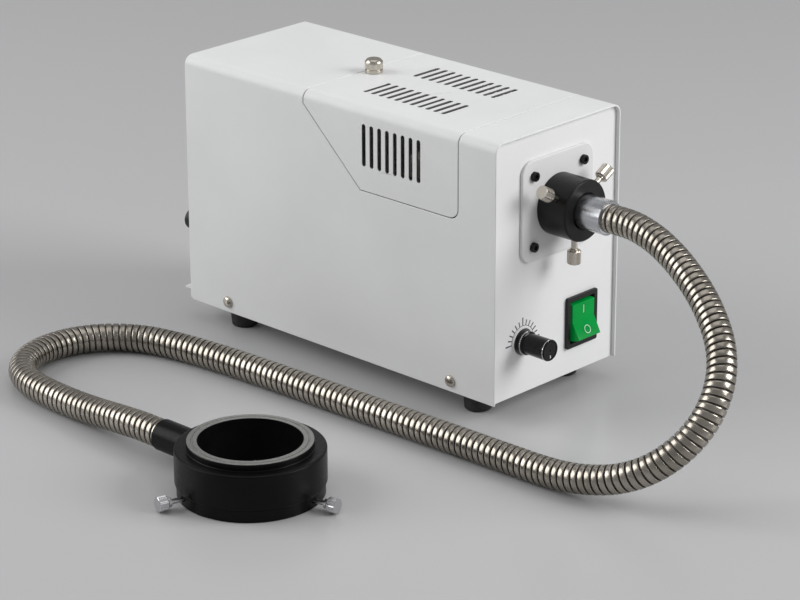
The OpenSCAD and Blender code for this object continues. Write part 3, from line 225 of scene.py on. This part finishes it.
# ---- Front and rear panels ----
# Flat steel panels that stand a little back inside the ends of the shell. The front one is
# coated whiter than the shell. The rear one has a small tab bent out low down, with a hole
# for a cable tie.
panel_coat = powder_coat(
    "front_panel_coat", (0.82, 0.82, 0.825), (0.86, 0.86, 0.865), gloss=0.36
)
eased("front_panel", "front_panel_sheet", panel_coat, "lamp_house", edge=0.2)
rear_sheet = eased(
    "rear_panel", "rear_panel_sheet", shell_coat, "lamp_house", edge=0.2
)


def within(point, low, high):
    """Whether a point lies inside the box between two corners."""
    return all(low[i] < point[i] < high[i] for i in range(3))


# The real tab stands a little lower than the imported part's
tab_low, tab_high = house(-52, 247, 19.5), house(-38, 262, 21.3)
tab_drop = 1.9 * MM
for vertex in rear_sheet.data.vertices:
    if within(vertex.co, tab_low, tab_high):
        vertex.co.z -= tab_drop

# ---- Feet and outer screws ----
# Moulded rubber feet, each bolted through its recess to the tray, and nickel-plated oval-head
# screws low on both sides that hold the shell to the tray.
rubber = new_finish("black_rubber", (0.016, 0.016, 0.017), 0.7)
tint(rubber, noise(rubber, 220), (0.012, 0.012, 0.013), (0.024, 0.024, 0.025))
relief(rubber, noise(rubber, 1800), depth=0.05, strength=0.3)
eased("rubber_feet", "feet", rubber, "lamp_house", edge=0.5)

zinc = new_finish("zinc_plate", (0.62, 0.63, 0.65), 0.32, metallic=1.0)
polish(zinc, noise(zinc, 700), 0.24, 0.42)
relief(zinc, noise(zinc, 2500), depth=0.01, strength=0.3)
eased("foot_screws", "foot_bolts", zinc, "lamp_house", edge=0.2)
nickel = new_finish("nickel_plate", (0.56, 0.52, 0.455), 0.24, metallic=1.0)
polish(nickel, noise(nickel, 500), 0.2, 0.28)
relief(nickel, noise(nickel, 700), depth=0.004, strength=0.15)
eased("side_screws", "side_bolts", nickel, "lamp_house", edge=0.15)

# ---- Lamp cover ----
# A second bent sheet let into the top of the shell, with pierced louvres. Two swan-neck arms
# at its front turn on pins under the shell, and a knurled nickel screw holds its rear edge.
cover = eased("lamp_cover", "cover", shell_coat, "lid", edge=0.35)
# Painted shade: the walls of the louvre slots take a dark grey that stands in for the shade
# inside the slots.
painted_slot_shade = new_finish("painted_louvre_shade", (0.15, 0.15, 0.15), 0.6, metallic=0.4)
polish(painted_slot_shade, noise(painted_slot_shade, 900), 0.5, 0.7)
cover.data.materials.append(painted_slot_shade)
top_low, top_high = house(-34, 50, 166), house(34, 130, 168)
cheek_low, cheek_high = house(-54, 55, 128), house(54, 104, 162)
across_sheet = 0.7
for face in cover.data.polygons:
    in_top = within(face.center, top_low, top_high)
    in_cheek = within(face.center, cheek_low, cheek_high)
    cut_in_top = in_top and abs(face.normal.z) < across_sheet
    cut_in_cheek = in_cheek and abs(face.normal.x) < across_sheet
    if cut_in_top or cut_in_cheek:
        face.material_index = 1
eased("cover_bracket", "bracket_of_cover", zinc, "lamp_house", edge=0.2)
eased("hinge_lugs", "lugs_of_hinge", zinc, "lamp_house", edge=0.2)
eased("hinge_pins", "pins_of_hinge", zinc, "lamp_house", edge=0.2)

# Points of a mesh that are nearer than this are one
SAME_VERTEX = 0.0005 * MM
# A knurl from one crest to the next, as shares of its depth
TOOTH = (0, 0.55, 1, 0.55)


def turned(
    name, stations, origin, axis, finish, body, nodes, teeth=24, ring=False, sharp=30
):
    """A piece turned on an axis. A station is a distance along it and a radius, with a depth
    of knurl where it has one, in millimetres. A ring's last station joins its first."""
    columns = teeth * len(TOOTH)
    facing = Vector(axis).normalized().to_track_quat("Z", "Y").to_matrix()
    bm = bmesh.new()
    rings = []
    for along, radius, *knurl in stations:
        depth = knurl[0] if knurl else 0
        row = []
        for k in range(columns):
            angle = math.tau * k / columns
            r = radius - depth * TOOTH[k % len(TOOTH)]
            point = Vector((r * math.cos(angle), r * math.sin(angle), along))
            row.append(bm.verts.new(origin + facing @ point * MM))
        rings.append(row)
    pairs = list(zip(rings, rings[1:]))
    if ring:
        pairs.append((rings[-1], rings[0]))
    for low, high in pairs:
        for k in range(columns):
            j = (k + 1) % columns
            bm.faces.new((low[k], low[j], high[j], high[k]))
    if not ring:
        bm.faces.new(rings[0][::-1])
        bm.faces.new(rings[-1])
    bmesh.ops.remove_doubles(bm, verts=bm.verts, dist=SAME_VERTEX)
    return piece(name, bm, finish, body, nodes, sharp)


turned("screw_of_cover", [
    (-7.2, 2.0), (-6.8, 2.4), (-0.2, 2.4), (0, 4.9), (0.25, 5.3), (1.9, 5.3), (2.1, 5.1),
    (2.15, 4.7), (2.6, 4.7), (2.65, 5.15, 0.1), (2.8, 5.35, 0.16), (5.5, 5.35, 0.16),
    (5.6, 5.4), (6.5, 5.4), (6.8, 5.3), (8.0, 4.3), (8.25, 3.9), (8.3, 3.7), (8.3, 0),
], house(0, 144, 167.8), (0, 0, 1), nickel, "cover_screw_body", ["cover_screw"],
    teeth=36)

# ---- Light port ----
# A square steel plate with round corners carries a turned and black-anodised collar. Four
# black socket screws hold it, and three knurled screws clamp the light guide's ferrule.
plate_coat = powder_coat("port_plate_coat", (0.75, 0.75, 0.75), (0.79, 0.79, 0.79), gloss=0.4)
eased("port_plate", "plate_of_port", plate_coat, "lamp_house", edge=0.6)

black_steel = new_finish(
    "blackened_steel", (0.015, 0.015, 0.016), 0.35, metallic=0.5, Specular_IOR_Level=0.3
)
polish(black_steel, noise(black_steel, 800), 0.28, 0.45)
eased("port_screws", "socket_screws", black_steel, "lamp_house", edge=0.2)


def anodised(name, shade, stretch, gloss):
    """Black anodised aluminium, with the fine marks that turning left under the dye."""
    skin = new_finish(name, shade, 0.32, Specular_IOR_Level=gloss)
    tint(skin, noise(skin, 60), [0.8 * c for c in shade], [1.3 * c for c in shade])
    polish(skin, noise(skin, 400), 0.28, 0.4)
    relief(skin, noise(skin, 900, detail=2, stretch=stretch), depth=0.012, strength=0.5)
    return skin


collar_black = anodised(
    "black_anodised_collar", (0.010, 0.0103, 0.0098), stretch=(0.2, 3, 0.2), gloss=0.24
)
eased("port_collar", "collar_of_port", collar_black, "lamp_house", edge=0.25)


def thumb_screw(
    name, node, origin, axis, body, finish, tip, neck, head, head_l, shank_r, head_r
):
    """A plated screw: a shank from its tip, a short neck, and a straight-knurled head with a
    flat face. Tip, neck and head are distances from the origin, in millimetres."""
    chamfer = 0.4
    knurl = 0.22
    rim = head_r - chamfer
    end = head + head_l
    turned(name, [
        (tip, shank_r - chamfer), (tip + chamfer, shank_r), (neck - 0.05, shank_r),
        (neck, head_r * 0.6), (neck + 0.15, head_r * 0.65), (head - 0.1, head_r * 0.65),
        (head, rim), (head + chamfer, head_r, knurl), (end - chamfer, head_r, knurl),
        (end, rim), (end, 0),
    ], origin, axis, finish, body, [node], teeth=32)


for side, degrees in (("left", 150), ("right", 30), ("lower", 270)):
    lean = math.radians(degrees)
    thumb_screw(
        f"clamp_screw_{side}", f"collar_screw_{side}", house(0, -12, 121),
        (math.cos(lean), 0, math.sin(lean)), f"collar_clamp_{side}", nickel,
        tip=10.3, neck=24.2, head=25.2, head_l=7.8, shank_r=1.75, head_r=4,
    )

# ---- Heat filter and lamp ----
# Ahead of the lamp a heat-absorbing glass sits in a spun cup on four spacers. The lamp is a
# halogen bulb in a dichroic glass reflector, held by a steel bracket and a ceramic socket.
eased("filter_spacers", "spacers_of_filter", zinc, "lamp_house", edge=0.2)
eased("filter_holder", "cup_of_filter", zinc, "lamp_house", edge=0.2)
eased("lamp_bracket", "bracket_of_lamp", zinc, "lamp_house", edge=0.2)

filter_glass = new_finish(
    "heat_filter_glass", (0.72, 0.90, 0.86), 0.04, Transmission_Weight=0.9, IOR=1.52
)
relief(filter_glass, noise(filter_glass, 120), depth=0.02, strength=0.2)
eased("heat_filter", "filter_disc", filter_glass, "lamp_house", edge=0.3)

mirror_glass = new_finish(
    "dichroic_reflector", (0.72, 0.70, 0.66), 0.12, metallic=0.75, Coat_Weight=0.6
)
tint(mirror_glass, noise(mirror_glass, 90), (0.60, 0.62, 0.70), (0.80, 0.74, 0.64))
relief(mirror_glass, noise(mirror_glass, 400), depth=0.2, strength=0.3)
eased("lamp_reflector", "reflector", mirror_glass, "lamp_house", edge=0.3)

bulb_glass = new_finish(
    "bulb_glass", (0.93, 0.94, 0.96), 0.03, Transmission_Weight=0.9, IOR=1.46
)
relief(bulb_glass, noise(bulb_glass, 150), depth=0.05, strength=0.2)
eased("lamp_bulb", "bulb", bulb_glass, "lamp_house", edge=0.1)

ceramic = new_finish("glazed_ceramic", (0.78, 0.75, 0.67), 0.3)
tint(ceramic, noise(ceramic, 160), (0.72, 0.69, 0.61), (0.82, 0.79, 0.71))
relief(ceramic, noise(ceramic, 900), depth=0.03, strength=0.3)
eased("lamp_socket", "socket_of_lamp", ceramic, "lamp_house", edge=0.5)

# ---- Transformer ----
# A core of stacked and varnished steel sheets, clamped by long bolts through its four
# corners, with the windings round its middle leg under amber tape.
lamination = new_finish("varnished_laminations", (0.05, 0.045, 0.04), 0.45, metallic=0.5)
stacked = (0.3, 22, 0.3)
dark_sheet, light_sheet = (0.02, 0.018, 0.016), (0.10, 0.09, 0.08)
tint(lamination, noise(lamination, 60, detail=4, stretch=stacked), dark_sheet, light_sheet)
relief(lamination, noise(lamination, 60, detail=2, stretch=stacked), depth=0.15, strength=0.6)
eased("transformer_core", "core", lamination, "lamp_house", edge=0.4)

tape = new_finish("amber_tape", (0.60, 0.36, 0.06), 0.25, Coat_Weight=0.3)
tint(tape, noise(tape, 80, stretch=(1, 1, 6)), (0.48, 0.27, 0.04), (0.70, 0.45, 0.10))
relief(tape, noise(tape, 60, detail=2, stretch=(0.5, 0.5, 8)), depth=0.3, strength=0.6)
eased("transformer_coil", "coil", tape, "lamp_house", edge=1.2)
eased("transformer_bolts", "core_bolts", zinc, "lamp_house", edge=0.2)

# ---- Dimmer board ----
# A green circuit board on hexagonal spacers, with a finned heat sink, its power switch, two
# capacitors and a ring choke.
board = new_finish("green_circuit_board", (0.02, 0.16, 0.07), 0.3, Coat_Weight=0.5)
tracks = (1, 0.25, 1)
tint(
    board, noise(board, 240, detail=0, stretch=tracks), (0.012, 0.11, 0.045),
    (0.03, 0.22, 0.10), low=0.47, high=0.53,
)
relief(board, noise(board, 240, detail=0, stretch=tracks), depth=0.05, strength=0.5)
eased("dimmer_board", "board", board, "lamp_house", edge=0.15)
eased("board_spacers", "spacers_of_board", zinc, "lamp_house", edge=0.15)

bare_metal = new_finish("bare_aluminium", (0.60, 0.60, 0.59), 0.4, metallic=1.0)
polish(bare_metal, noise(bare_metal, 500, stretch=(1, 1, 0.1)), 0.32, 0.5)
relief(bare_metal, noise(bare_metal, 900, stretch=(1, 1, 0.05)), depth=0.02, strength=0.4)
eased("heat_sink", "fins_of_heat_sink", bare_metal, "lamp_house", edge=0.15)

moulded = new_finish("black_moulding", (0.014, 0.014, 0.015), 0.42, Specular_IOR_Level=0.3)
polish(moulded, noise(moulded, 500), 0.36, 0.5)
relief(moulded, noise(moulded, 1500), depth=0.02, strength=0.4)
eased("board_parts", "parts_on_board", moulded, "lamp_house", edge=0.4)

# ---- Dimmer control ----
# A potentiometer held in the panel by its washer and nut. Its shaft carries a moulded gloss
# black knob with a skirt, a pointer and a plated ring at each end, over a pale washer and a
# scale of printed ticks.
eased("dimmer_pot", "potentiometer", zinc, "lamp_house", edge=0.3)
# The nut and washer are steel, coloured darker with painted shade that stands in for the shadow
# gap round the knob's base.
steel_with_painted_shade = new_finish("steel_with_painted_shade", (0.16, 0.16, 0.165), 0.45, metallic=0.9)
polish(steel_with_painted_shade, noise(steel_with_painted_shade, 700), 0.38, 0.52)
eased("pot_nut", "nut_and_washer", steel_with_painted_shade, "lamp_house", edge=0.12)
eased("pot_shaft", "shaft_of_dimmer", zinc, "knob", edge=0.2)

gloss_black = new_finish(
    "gloss_black", (0.003, 0.003, 0.0033), 0.16, Specular_IOR_Level=0.25
)
tint(
    gloss_black, noise(gloss_black, 120), (0.0025, 0.0025, 0.0028), (0.0045, 0.0045, 0.0048)
)
polish(gloss_black, noise(gloss_black, 300), 0.12, 0.2)
knob_face = house(-26.5, -18.7, 44.4)
turned("knob_of_dimmer", [
    (0, 4.9), (0, 5.6), (0.15, 5.95), (0.5, 6.2), (0.9, 6.3), (0.95, 6.2), (1.35, 6.2),
    (1.4, 6.3), (15.9, 6.15), (16.1, 6.4), (16.3, 6.85), (17.1, 6.9), (17.9, 6.6),
    (17.9, 3.02), (5.4, 3.02), (5.4, 0.5), (0.3, 0.5), (0.3, 4.7),
], knob_face, (0, 1, 0), gloss_black, "knob", ["dimmer_knob"], teeth=20,
    ring=True)

bright = new_finish("bright_plate", (0.68, 0.68, 0.69), 0.16, metallic=1.0)
polish(bright, noise(bright, 700), 0.12, 0.2)
seat_r = 5.4
chamfer = 0.1
for name, along, width, radius in (("front", 0.92, 0.46, 6.36), ("rear", 17.15, 0.6, 7.15)):
    turned(f"ring_of_knob_{name}", [
        (along, seat_r), (along, radius - chamfer), (along + chamfer, radius),
        (along + width - chamfer, radius), (along + width, radius - chamfer),
        (along + width, seat_r),
    ], knob_face, (0, 1, 0), bright, "knob", [], teeth=20, ring=True)

dial = house(-26.5, 2.5, 44.4)
pale_washer = new_finish("pale_washer", (0.78, 0.79, 0.76), 0.35)
polish(pale_washer, noise(pale_washer, 600), 0.25, 0.38)
turned("washer_of_dimmer", [
    (-0.6, 7.85), (-0.6, 8.6), (-0.5, 8.8), (-0.3, 8.9), (0, 8.9), (0, 7.85),
], dial, (0, 1, 0), pale_washer, "lamp_house", [], teeth=20, ring=True)


def block(bm, low, high):
    """Adds a block between two corners that house() has placed."""
    made = bmesh.ops.create_cube(bm, size=1)
    for vertex in made["verts"]:
        for i in range(3):
            share = vertex.co[i] + 0.5
            vertex.co[i] = low[i] + share * (high[i] - low[i])


pointer_white = new_finish("pointer_white", (0.82, 0.82, 0.80), 0.4)
polish(pointer_white, noise(pointer_white, 900), 0.35, 0.5)
pointer = bmesh.new()
block(pointer, house(-26.85, -18.5, 39.9), house(-26.15, -18.3, 41.5))
pointer_bar = piece("pointer_of_knob", pointer, pointer_white, "knob", [])
ease_edges(pointer_bar, width=0.08)

ink = new_finish("black_ink", (0.02, 0.02, 0.022), 0.5)
tint(ink, noise(ink, 900), (0.015, 0.015, 0.017), (0.04, 0.04, 0.042))


def printed_arc(bm, centre, start, end, inner, outer, steps):
    """Adds a thin raised arc of ink on the front panel, between two angles and two radii."""
    film = 0.05
    rows = []
    for k in range(steps + 1):
        turn = start + (end - start) * k / steps
        row = []
        for radius, depth in ((inner, 0), (outer, 0), (outer, -film), (inner, -film)):
            row.append(bm.verts.new(centre + Vector((
                radius * math.cos(turn), depth, radius * math.sin(turn)
            )) * MM))
        rows.append(row)
    for low, high in zip(rows, rows[1:]):
        for k in range(4):
            j = (k + 1) % 4
            bm.faces.new((low[k], low[j], high[j], high[k]))
    bm.faces.new(rows[0])
    bm.faces.new(rows[-1][::-1])


scale_ink = bmesh.new()
printed_arc(
    scale_ink, dial, math.radians(-4), math.radians(184), inner=9.3, outer=9.6, steps=40
)
half_tick = 0.031
long_reach, short_reach = 14.4, 12.8
for tick in range(13):
    turn = math.radians(180 - tick * 15)
    reach = long_reach if tick % 6 == 0 else short_reach
    printed_arc(
        scale_ink, dial, turn - half_tick, turn + half_tick, inner=9.5, outer=reach, steps=1
    )
piece("dial_ticks", scale_ink, ink, "lamp_house", [])

# ---- Mains switch ----
# A snap-in rocker switch: a black bezel and case, and a glossy green rocker that tips on
# two pins and carries moulded-in I and O marks.
eased("switch_body", "case_of_switch", moulded, "lamp_house", edge=0.3)

# The faint green emission is painted light: a glow that brightens the rocker's green.
green = new_finish(
    "green_rocker", (0.0, 0.27, 0.045), 0.18, Specular_IOR_Level=0.12,
    Subsurface_Weight=0.2, Subsurface_Scale=0.004, Emission_Color=(0.0, 0.6, 0.1, 1),
    Emission_Strength=0.06,
)
tint(green, noise(green, 70), (0.0, 0.24, 0.04), (0.0, 0.30, 0.05))
polish(green, noise(green, 500), 0.16, 0.26)
rocker = eased("switch_rocker", "rocker_of_switch", green, "rocker", edge=0.4)
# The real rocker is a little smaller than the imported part's, and its lower end leans out
rocker_middle = house(23.2, 0, 44.4)
narrower = 0.96
shorter = 0.88
lean_out = 0.12
for vertex in rocker.data.vertices:
    vertex.co.x = rocker_middle.x + narrower * (vertex.co.x - rocker_middle.x)
    vertex.co.z = rocker_middle.z + shorter * (vertex.co.z - rocker_middle.z)
    if vertex.co.z < rocker_middle.z:
        vertex.co.y -= lean_out * (rocker_middle.z - vertex.co.z)

mark_white = new_finish("mark_white", (0.50, 0.80, 0.58), 0.35)
polish(mark_white, noise(mark_white, 700), 0.3, 0.45)
on_bar = bmesh.new()
block(on_bar, house(22.9, -0.35, 48.6), house(23.5, 0.1, 53.4))
on_mark = piece("mark_on", on_bar, mark_white, "rocker", [])
ease_edges(on_mark, width=0.12)
slope = math.radians(28.1)
off_face = (0, math.cos(slope), -math.sin(slope))
turned("mark_off", [
    (-0.35, 2.1), (0.15, 2.1), (0.15, 2.5), (-0.35, 2.5),
], house(23.2, -3.23, 39.2), off_face, mark_white, "rocker", [], teeth=12,
    ring=True)

# ---- Fan ----
# An axial fan with a moulded frame and rotor, bolted to the inside of the rear panel. Its
# guard, outside the panel, is welded from wire and plated bright.
eased("fan_frame", "frame_of_fan", moulded, "lamp_house", edge=0.4)
eased("fan_rotor", "rotor_of_fan", moulded, "fan", edge=0.2)
eased("fan_guard", "guard_of_fan", bright, "lamp_house", edge=0.05, corner=60)
eased("fan_screws", "screws_of_fan", zinc, "lamp_house", edge=0.25)

# ---- Mains inlet and fuse ----
# A moulded appliance inlet with three tinned blades, screwed to the rear panel beside a
# panel fuse holder whose cap has a screwdriver slot.
eased("mains_inlet", "inlet", moulded, "lamp_house", edge=0.4)
eased("inlet_pins", "blades_of_inlet", bright, "lamp_house", edge=0.2)
eased("inlet_screws", "screws_of_inlet", zinc, "lamp_house", edge=0.2)
eased("fuse_holder", "holder_of_fuse", moulded, "lamp_house", edge=0.3)
eased("fuse_cap", "cap_of_fuse", moulded, "fuse_cap_body", edge=0.3)
eased("fuse_link", "link_of_fuse", bright, "lamp_house", edge=0.2)

# ---- Light guide ----
# Glass fibres in a flexible conduit wound from stainless strip, whose turns lock into ribs.
# A polished steel ferrule is bonded to one end of it and the neck of the ring head to the
# other.
ferrule_steel = new_finish("polished_steel", (0.47, 0.48, 0.50), 0.25, metallic=1.0)
polish(ferrule_steel, noise(ferrule_steel, 300, detail=2, stretch=(1, 0.1, 1)), 0.22, 0.29)
draw_marks = noise(ferrule_steel, 1500, detail=2, stretch=(1, 0.05, 1))
relief(ferrule_steel, draw_marks, depth=0.006, strength=0.3)
turned("ferrule", [
    (-3.6, 4.65), (-3.6, 9.4), (-3.5, 9.75), (-3.2, 10), (55.2, 10), (56, 9.2), (56, 4.65),
], house(0, -34, 121), (0, 1, 0), ferrule_steel, "light_guide", ["guide_ferrule"],
    teeth=24, ring=True)

fibre = new_finish("fibre_ends", (0.12, 0.12, 0.11), 0.25)
tint(
    fibre, noise(fibre, 2600, detail=1), (0.05, 0.05, 0.05), (0.22, 0.22, 0.20), low=0.42,
    high=0.62,
)
eased("fibre_input", "input_of_fibres", fibre, "light_guide", edge=0.1)

# The conduit's route, from the ferrule down to the bench, beside the lamp house, round a
# loop and into the neck of the ring head
route = [house(*point) for point in (
    (0, -34, 121), (0, -43, 121), (0, -52, 120.9), (-1, -62, 119.9), (-3.4, -76, 116.9),
    (-8, -93, 111.2), (-14.8, -111.5, 103.1), (-22.6, -127.8, 93.7), (-31.4, -141.4, 83),
    (-41.2, -150.3, 71.2), (-51.6, -153.8, 58.6), (-62, -152.2, 46.1), (-71.8, -145.4, 34.3),
    (-80, -134.4, 24.2), (-86, -120.5, 17), (-89.8, -104.6, 12.4), (-91.8, -87, 9.6),
    (-92.6, -69, 8.5), (-93, -50, 8.4), (-94, -12, 8.4), (-95.5, 40, 8.4), (-97, 90, 8.4),
    (-98.6, 140, 8.4), (-100.6, 175, 8.4), (-103.6, 202, 8.4), (-108.6, 224, 8.4),
    (-116.8, 239.6, 8.4), (-129, 251.4, 8.4), (-144.5, 258.4, 8.4), (-161.5, 259.8, 8.4),
    (-177.5, 255.6, 8.4), (-190.6, 246, 8.4), (-199.4, 231.6, 8.4), (-203.4, 214, 8.4),
    (-205, 190, 8.6), (-206, 165, 9.8), (-206.8, 142, 11.9), (-207, 124, 13), (-207, 107, 13),
)]


def smooth_route(points, steps):
    """A smooth curve through the points, and the length along it of each of its own points."""
    curve = []
    for i in range(len(points) - 1):
        b, c = points[i], points[i + 1]
        a = 2 * b - c if i == 0 else points[i - 1]
        d = 2 * c - b if i + 2 == len(points) else points[i + 2]
        for k in range(steps):
            t = k / steps
            bend = (2 * a - 5 * b + 4 * c - d) * t ** 2 + (3 * b - a - 3 * c + d) * t ** 3
            curve.append((2 * b + (c - a) * t + bend) / 2)
    curve.append(points[-1].copy())
    lengths = [0.0]
    for before, after in zip(curve, curve[1:]):
        lengths.append(lengths[-1] + (after - before).length)
    return curve, lengths


def along_route(curve, lengths, distance):
    """The point at a distance along a curve, and the directions along, across and up there."""
    distance = min(max(distance, 0.0), lengths[-1])
    low, high = 0, len(lengths) - 1
    while high - low > 1:
        middle = (low + high) // 2
        if lengths[middle] <= distance:
            low = middle
        else:
            high = middle
    share = (distance - lengths[low]) / (lengths[high] - lengths[low])
    point = curve[low].lerp(curve[high], share)
    before = curve[max(low - 1, 0)]
    after = curve[min(high + 1, len(curve) - 1)]
    run = (curve[high] - before).lerp(after - curve[low], share).normalized()
    across = Vector((0, 0, 1)).cross(run).normalized()
    return point, run, across, run.cross(across)


def wound_tube(
    name, curve, lengths, turns, profile, groove_r, sides, finish, body, nodes
):
    """A tube whose profile runs round it as a screw thread does. A point of the profile is a
    share of one turn and a radius in millimetres. What lies deeper than groove_r takes the
    second finish."""
    pitch = lengths[-1] / turns
    bm = bmesh.new()
    columns = []
    stops = [
        (turn + share, radius) for turn in range(-1, turns + 1) for share, radius in profile
    ]
    for k in range(sides):
        angle = math.tau * k / sides
        column = []
        for stop, radius in stops:
            distance = min(max((stop + k / sides) * pitch, 0.0), lengths[-1])
            point, run, across, over = along_route(curve, lengths, distance)
            offset = across * math.cos(angle) + over * math.sin(angle)
            column.append(bm.verts.new(point + offset * radius * MM))
        columns.append(column)
    columns.append(columns[0][len(profile):])
    for column, beside in zip(columns, columns[1:]):
        for i in range(len(beside) - 1):
            face = bm.faces.new((column[i], column[i + 1], beside[i + 1], beside[i]))
            face.material_index = int(min(stops[i][1], stops[i + 1][1]) < groove_r)
    bmesh.ops.remove_doubles(bm, verts=bm.verts, dist=SAME_VERTEX)
    bmesh.ops.dissolve_degenerate(bm, edges=bm.edges, dist=SAME_VERTEX)
    return piece(name, bm, finish, body, nodes, sharp=50)


strip_steel = new_finish("stainless_strip", (0.35, 0.322, 0.28), 0.27, metallic=1.0)
tint(strip_steel, noise(strip_steel, 45), (0.31, 0.284, 0.246), (0.39, 0.36, 0.314))
polish(strip_steel, noise(strip_steel, 400), 0.22, 0.31)
relief(strip_steel, noise(strip_steel, 900), depth=0.01, strength=0.2)
curve, lengths = smooth_route(route, steps=12)
rib = [
    (0.00, 7.20), (0.15, 7.20), (0.165, 7.80), (0.195, 8.10), (0.25, 8.23), (0.36, 8.28),
    (0.56, 8.30), (0.76, 8.29), (0.88, 8.24), (0.945, 8.10), (0.975, 7.80),
]
# Painted shade: the faces deep in the grooves take a dark steel colour that stands in for the
# shade between the ribs.
painted_groove_shade = new_finish("shaded_groove", (0.10, 0.088, 0.075), 0.5, metallic=0.8)
tint(painted_groove_shade, noise(painted_groove_shade, 300), (0.07, 0.061, 0.052), (0.14, 0.124, 0.106))
conduit = wound_tube(
    "conduit", curve, lengths, turns=192, profile=rib, groove_r=7.85, sides=32,
    finish=strip_steel, body="light_guide", nodes=["light_guide_conduit"],
)
conduit.data.materials.append(painted_groove_shade)

glass_fibre = new_finish("glass_fibre", (0.75, 0.76, 0.74), 0.3, Transmission_Weight=0.3)
polish(glass_fibre, noise(glass_fibre, 900), 0.25, 0.4)
into_ring = [house(-207, 93, 13), house(-207, 75.3, 13)]
bundle_curve, bundle_lengths = smooth_route(route + into_ring, steps=12)
strands = 7
bundle_r = 4.35
strand_lift = 0.12
lay_of_strands = [(i / strands, bundle_r + strand_lift * (i % 2)) for i in range(strands)]
bundle = wound_tube(
    "bundle", bundle_curve, bundle_lengths, turns=28, profile=lay_of_strands, groove_r=0,
    sides=14, finish=glass_fibre, body="light_guide", nodes=["fibre_bundle"],
)

neck_black = anodised(
    "black_anodised_neck", (0.004, 0.004, 0.0043), stretch=(0.2, 3, 0.2), gloss=0.11
)
neck = eased("neck_tube", "neck", neck_black, "light_guide", edge=0.4)

# ---- Ring head ----
# A turned and black-anodised ring. Its body carries a rim round the line of fibre ends and
# stands on a base band; a sleeve lines the bore, and the light face is lapped bare.
ring_black = anodised(
    "black_anodised_ring", (0.003, 0.003, 0.0032), stretch=(0.3, 0.3, 4), gloss=0.13
)
eased("ring_housing", "body_of_ring", ring_black, "light_guide", edge=0.5)
eased("ring_base", "base_of_ring", ring_black, "light_guide", edge=0.3)
eased("ring_sleeve", "sleeve_of_ring", ring_black, "light_guide", edge=0.2)
eased("fibre_ring", "fibres_of_ring", fibre, "light_guide", edge=0.02)
ring_centre = house(-207, 37, 0)
lapped = new_finish("lapped_face", (0.36, 0.36, 0.34), 0.36, metallic=1.0)
tint(lapped, noise(lapped, 700), (0.32, 0.32, 0.30), (0.40, 0.40, 0.38))
polish(lapped, noise(lapped, 500), 0.3, 0.42)
face_low, face_high = 30.9, 31.02
for name, inner, outer in (("inner", 28.8, 31.15), ("outer", 32.15, 34.3)):
    turned(f"lapped_{name}", [
        (face_low, inner), (face_high, inner), (face_high, outer), (face_low, outer),
    ], ring_centre, (0, 0, 1), lapped, "light_guide", [], teeth=40,
        ring=True)

screw_height = Vector((0, 0, 4.7 * MM))
for side, degrees in (("left", 162), ("front", 282), ("right", 42)):
    lean = math.radians(degrees)
    thumb_screw(
        f"thumb_screw_{side}", f"ring_screw_{side}", ring_centre + screw_height,
        (math.cos(lean), math.sin(lean), 0), f"ring_clamp_{side}", bright,
        tip=29.4, neck=47.5, head=49.9, head_l=5.6, shank_r=1.5, head_r=4.2,
    )

# ---- Studio ----
# A plain pale bench top, smooth enough for a soft sheen, under three large square lights in
# a plain pale room.
bench = new_finish("bench_top", (0.50, 0.50, 0.505), 0.26, Specular_IOR_Level=0.22)
floor = bpy.data.objects.new("floor", bpy.data.meshes.new("floor"))
far = 9
corners = [(-far, -far, 0), (far, -far, 0), (far, far, 0), (-far, far, 0)]
floor.data.from_pydata(corners, [], [(0, 1, 2, 3)])
floor.data.materials.append(bench)
bpy.context.scene.collection.objects.link(floor)


def soft_light(name, place, aim, size, power):
    """A square soft light that faces a point."""
    lamp = bpy.data.lights.new(name, "AREA")
    lamp.shape = "SQUARE"
    lamp.size = size
    lamp.energy = power
    made = bpy.data.objects.new(name, lamp)
    made.location = place
    made.rotation_euler = (Vector(place) - Vector(aim)).to_track_quat("Z", "Y").to_euler()
    bpy.context.scene.collection.objects.link(made)


soft_light("light_over", (0.2, 0.1, 2.0), (0, 0, 0.05), size=1.6, power=6)
soft_light("light_front", (0.95, -1.6, 1.05), (0, -0.1, 0.08), size=1.1, power=28)
soft_light("light_left", (-1.05, 1.22, 0.95), (0, 0, 0.08), size=1.35, power=20)
room = bpy.data.worlds.new("studio")
room.use_nodes = True
room_walls = room.node_tree.nodes["Background"]
room_walls.inputs["Color"].default_value = (0.62, 0.62, 0.63, 1)
room_walls.inputs["Strength"].default_value = 0.55
bpy.context.scene.world = room
bpy.context.scene.view_settings.view_transform = "Standard"
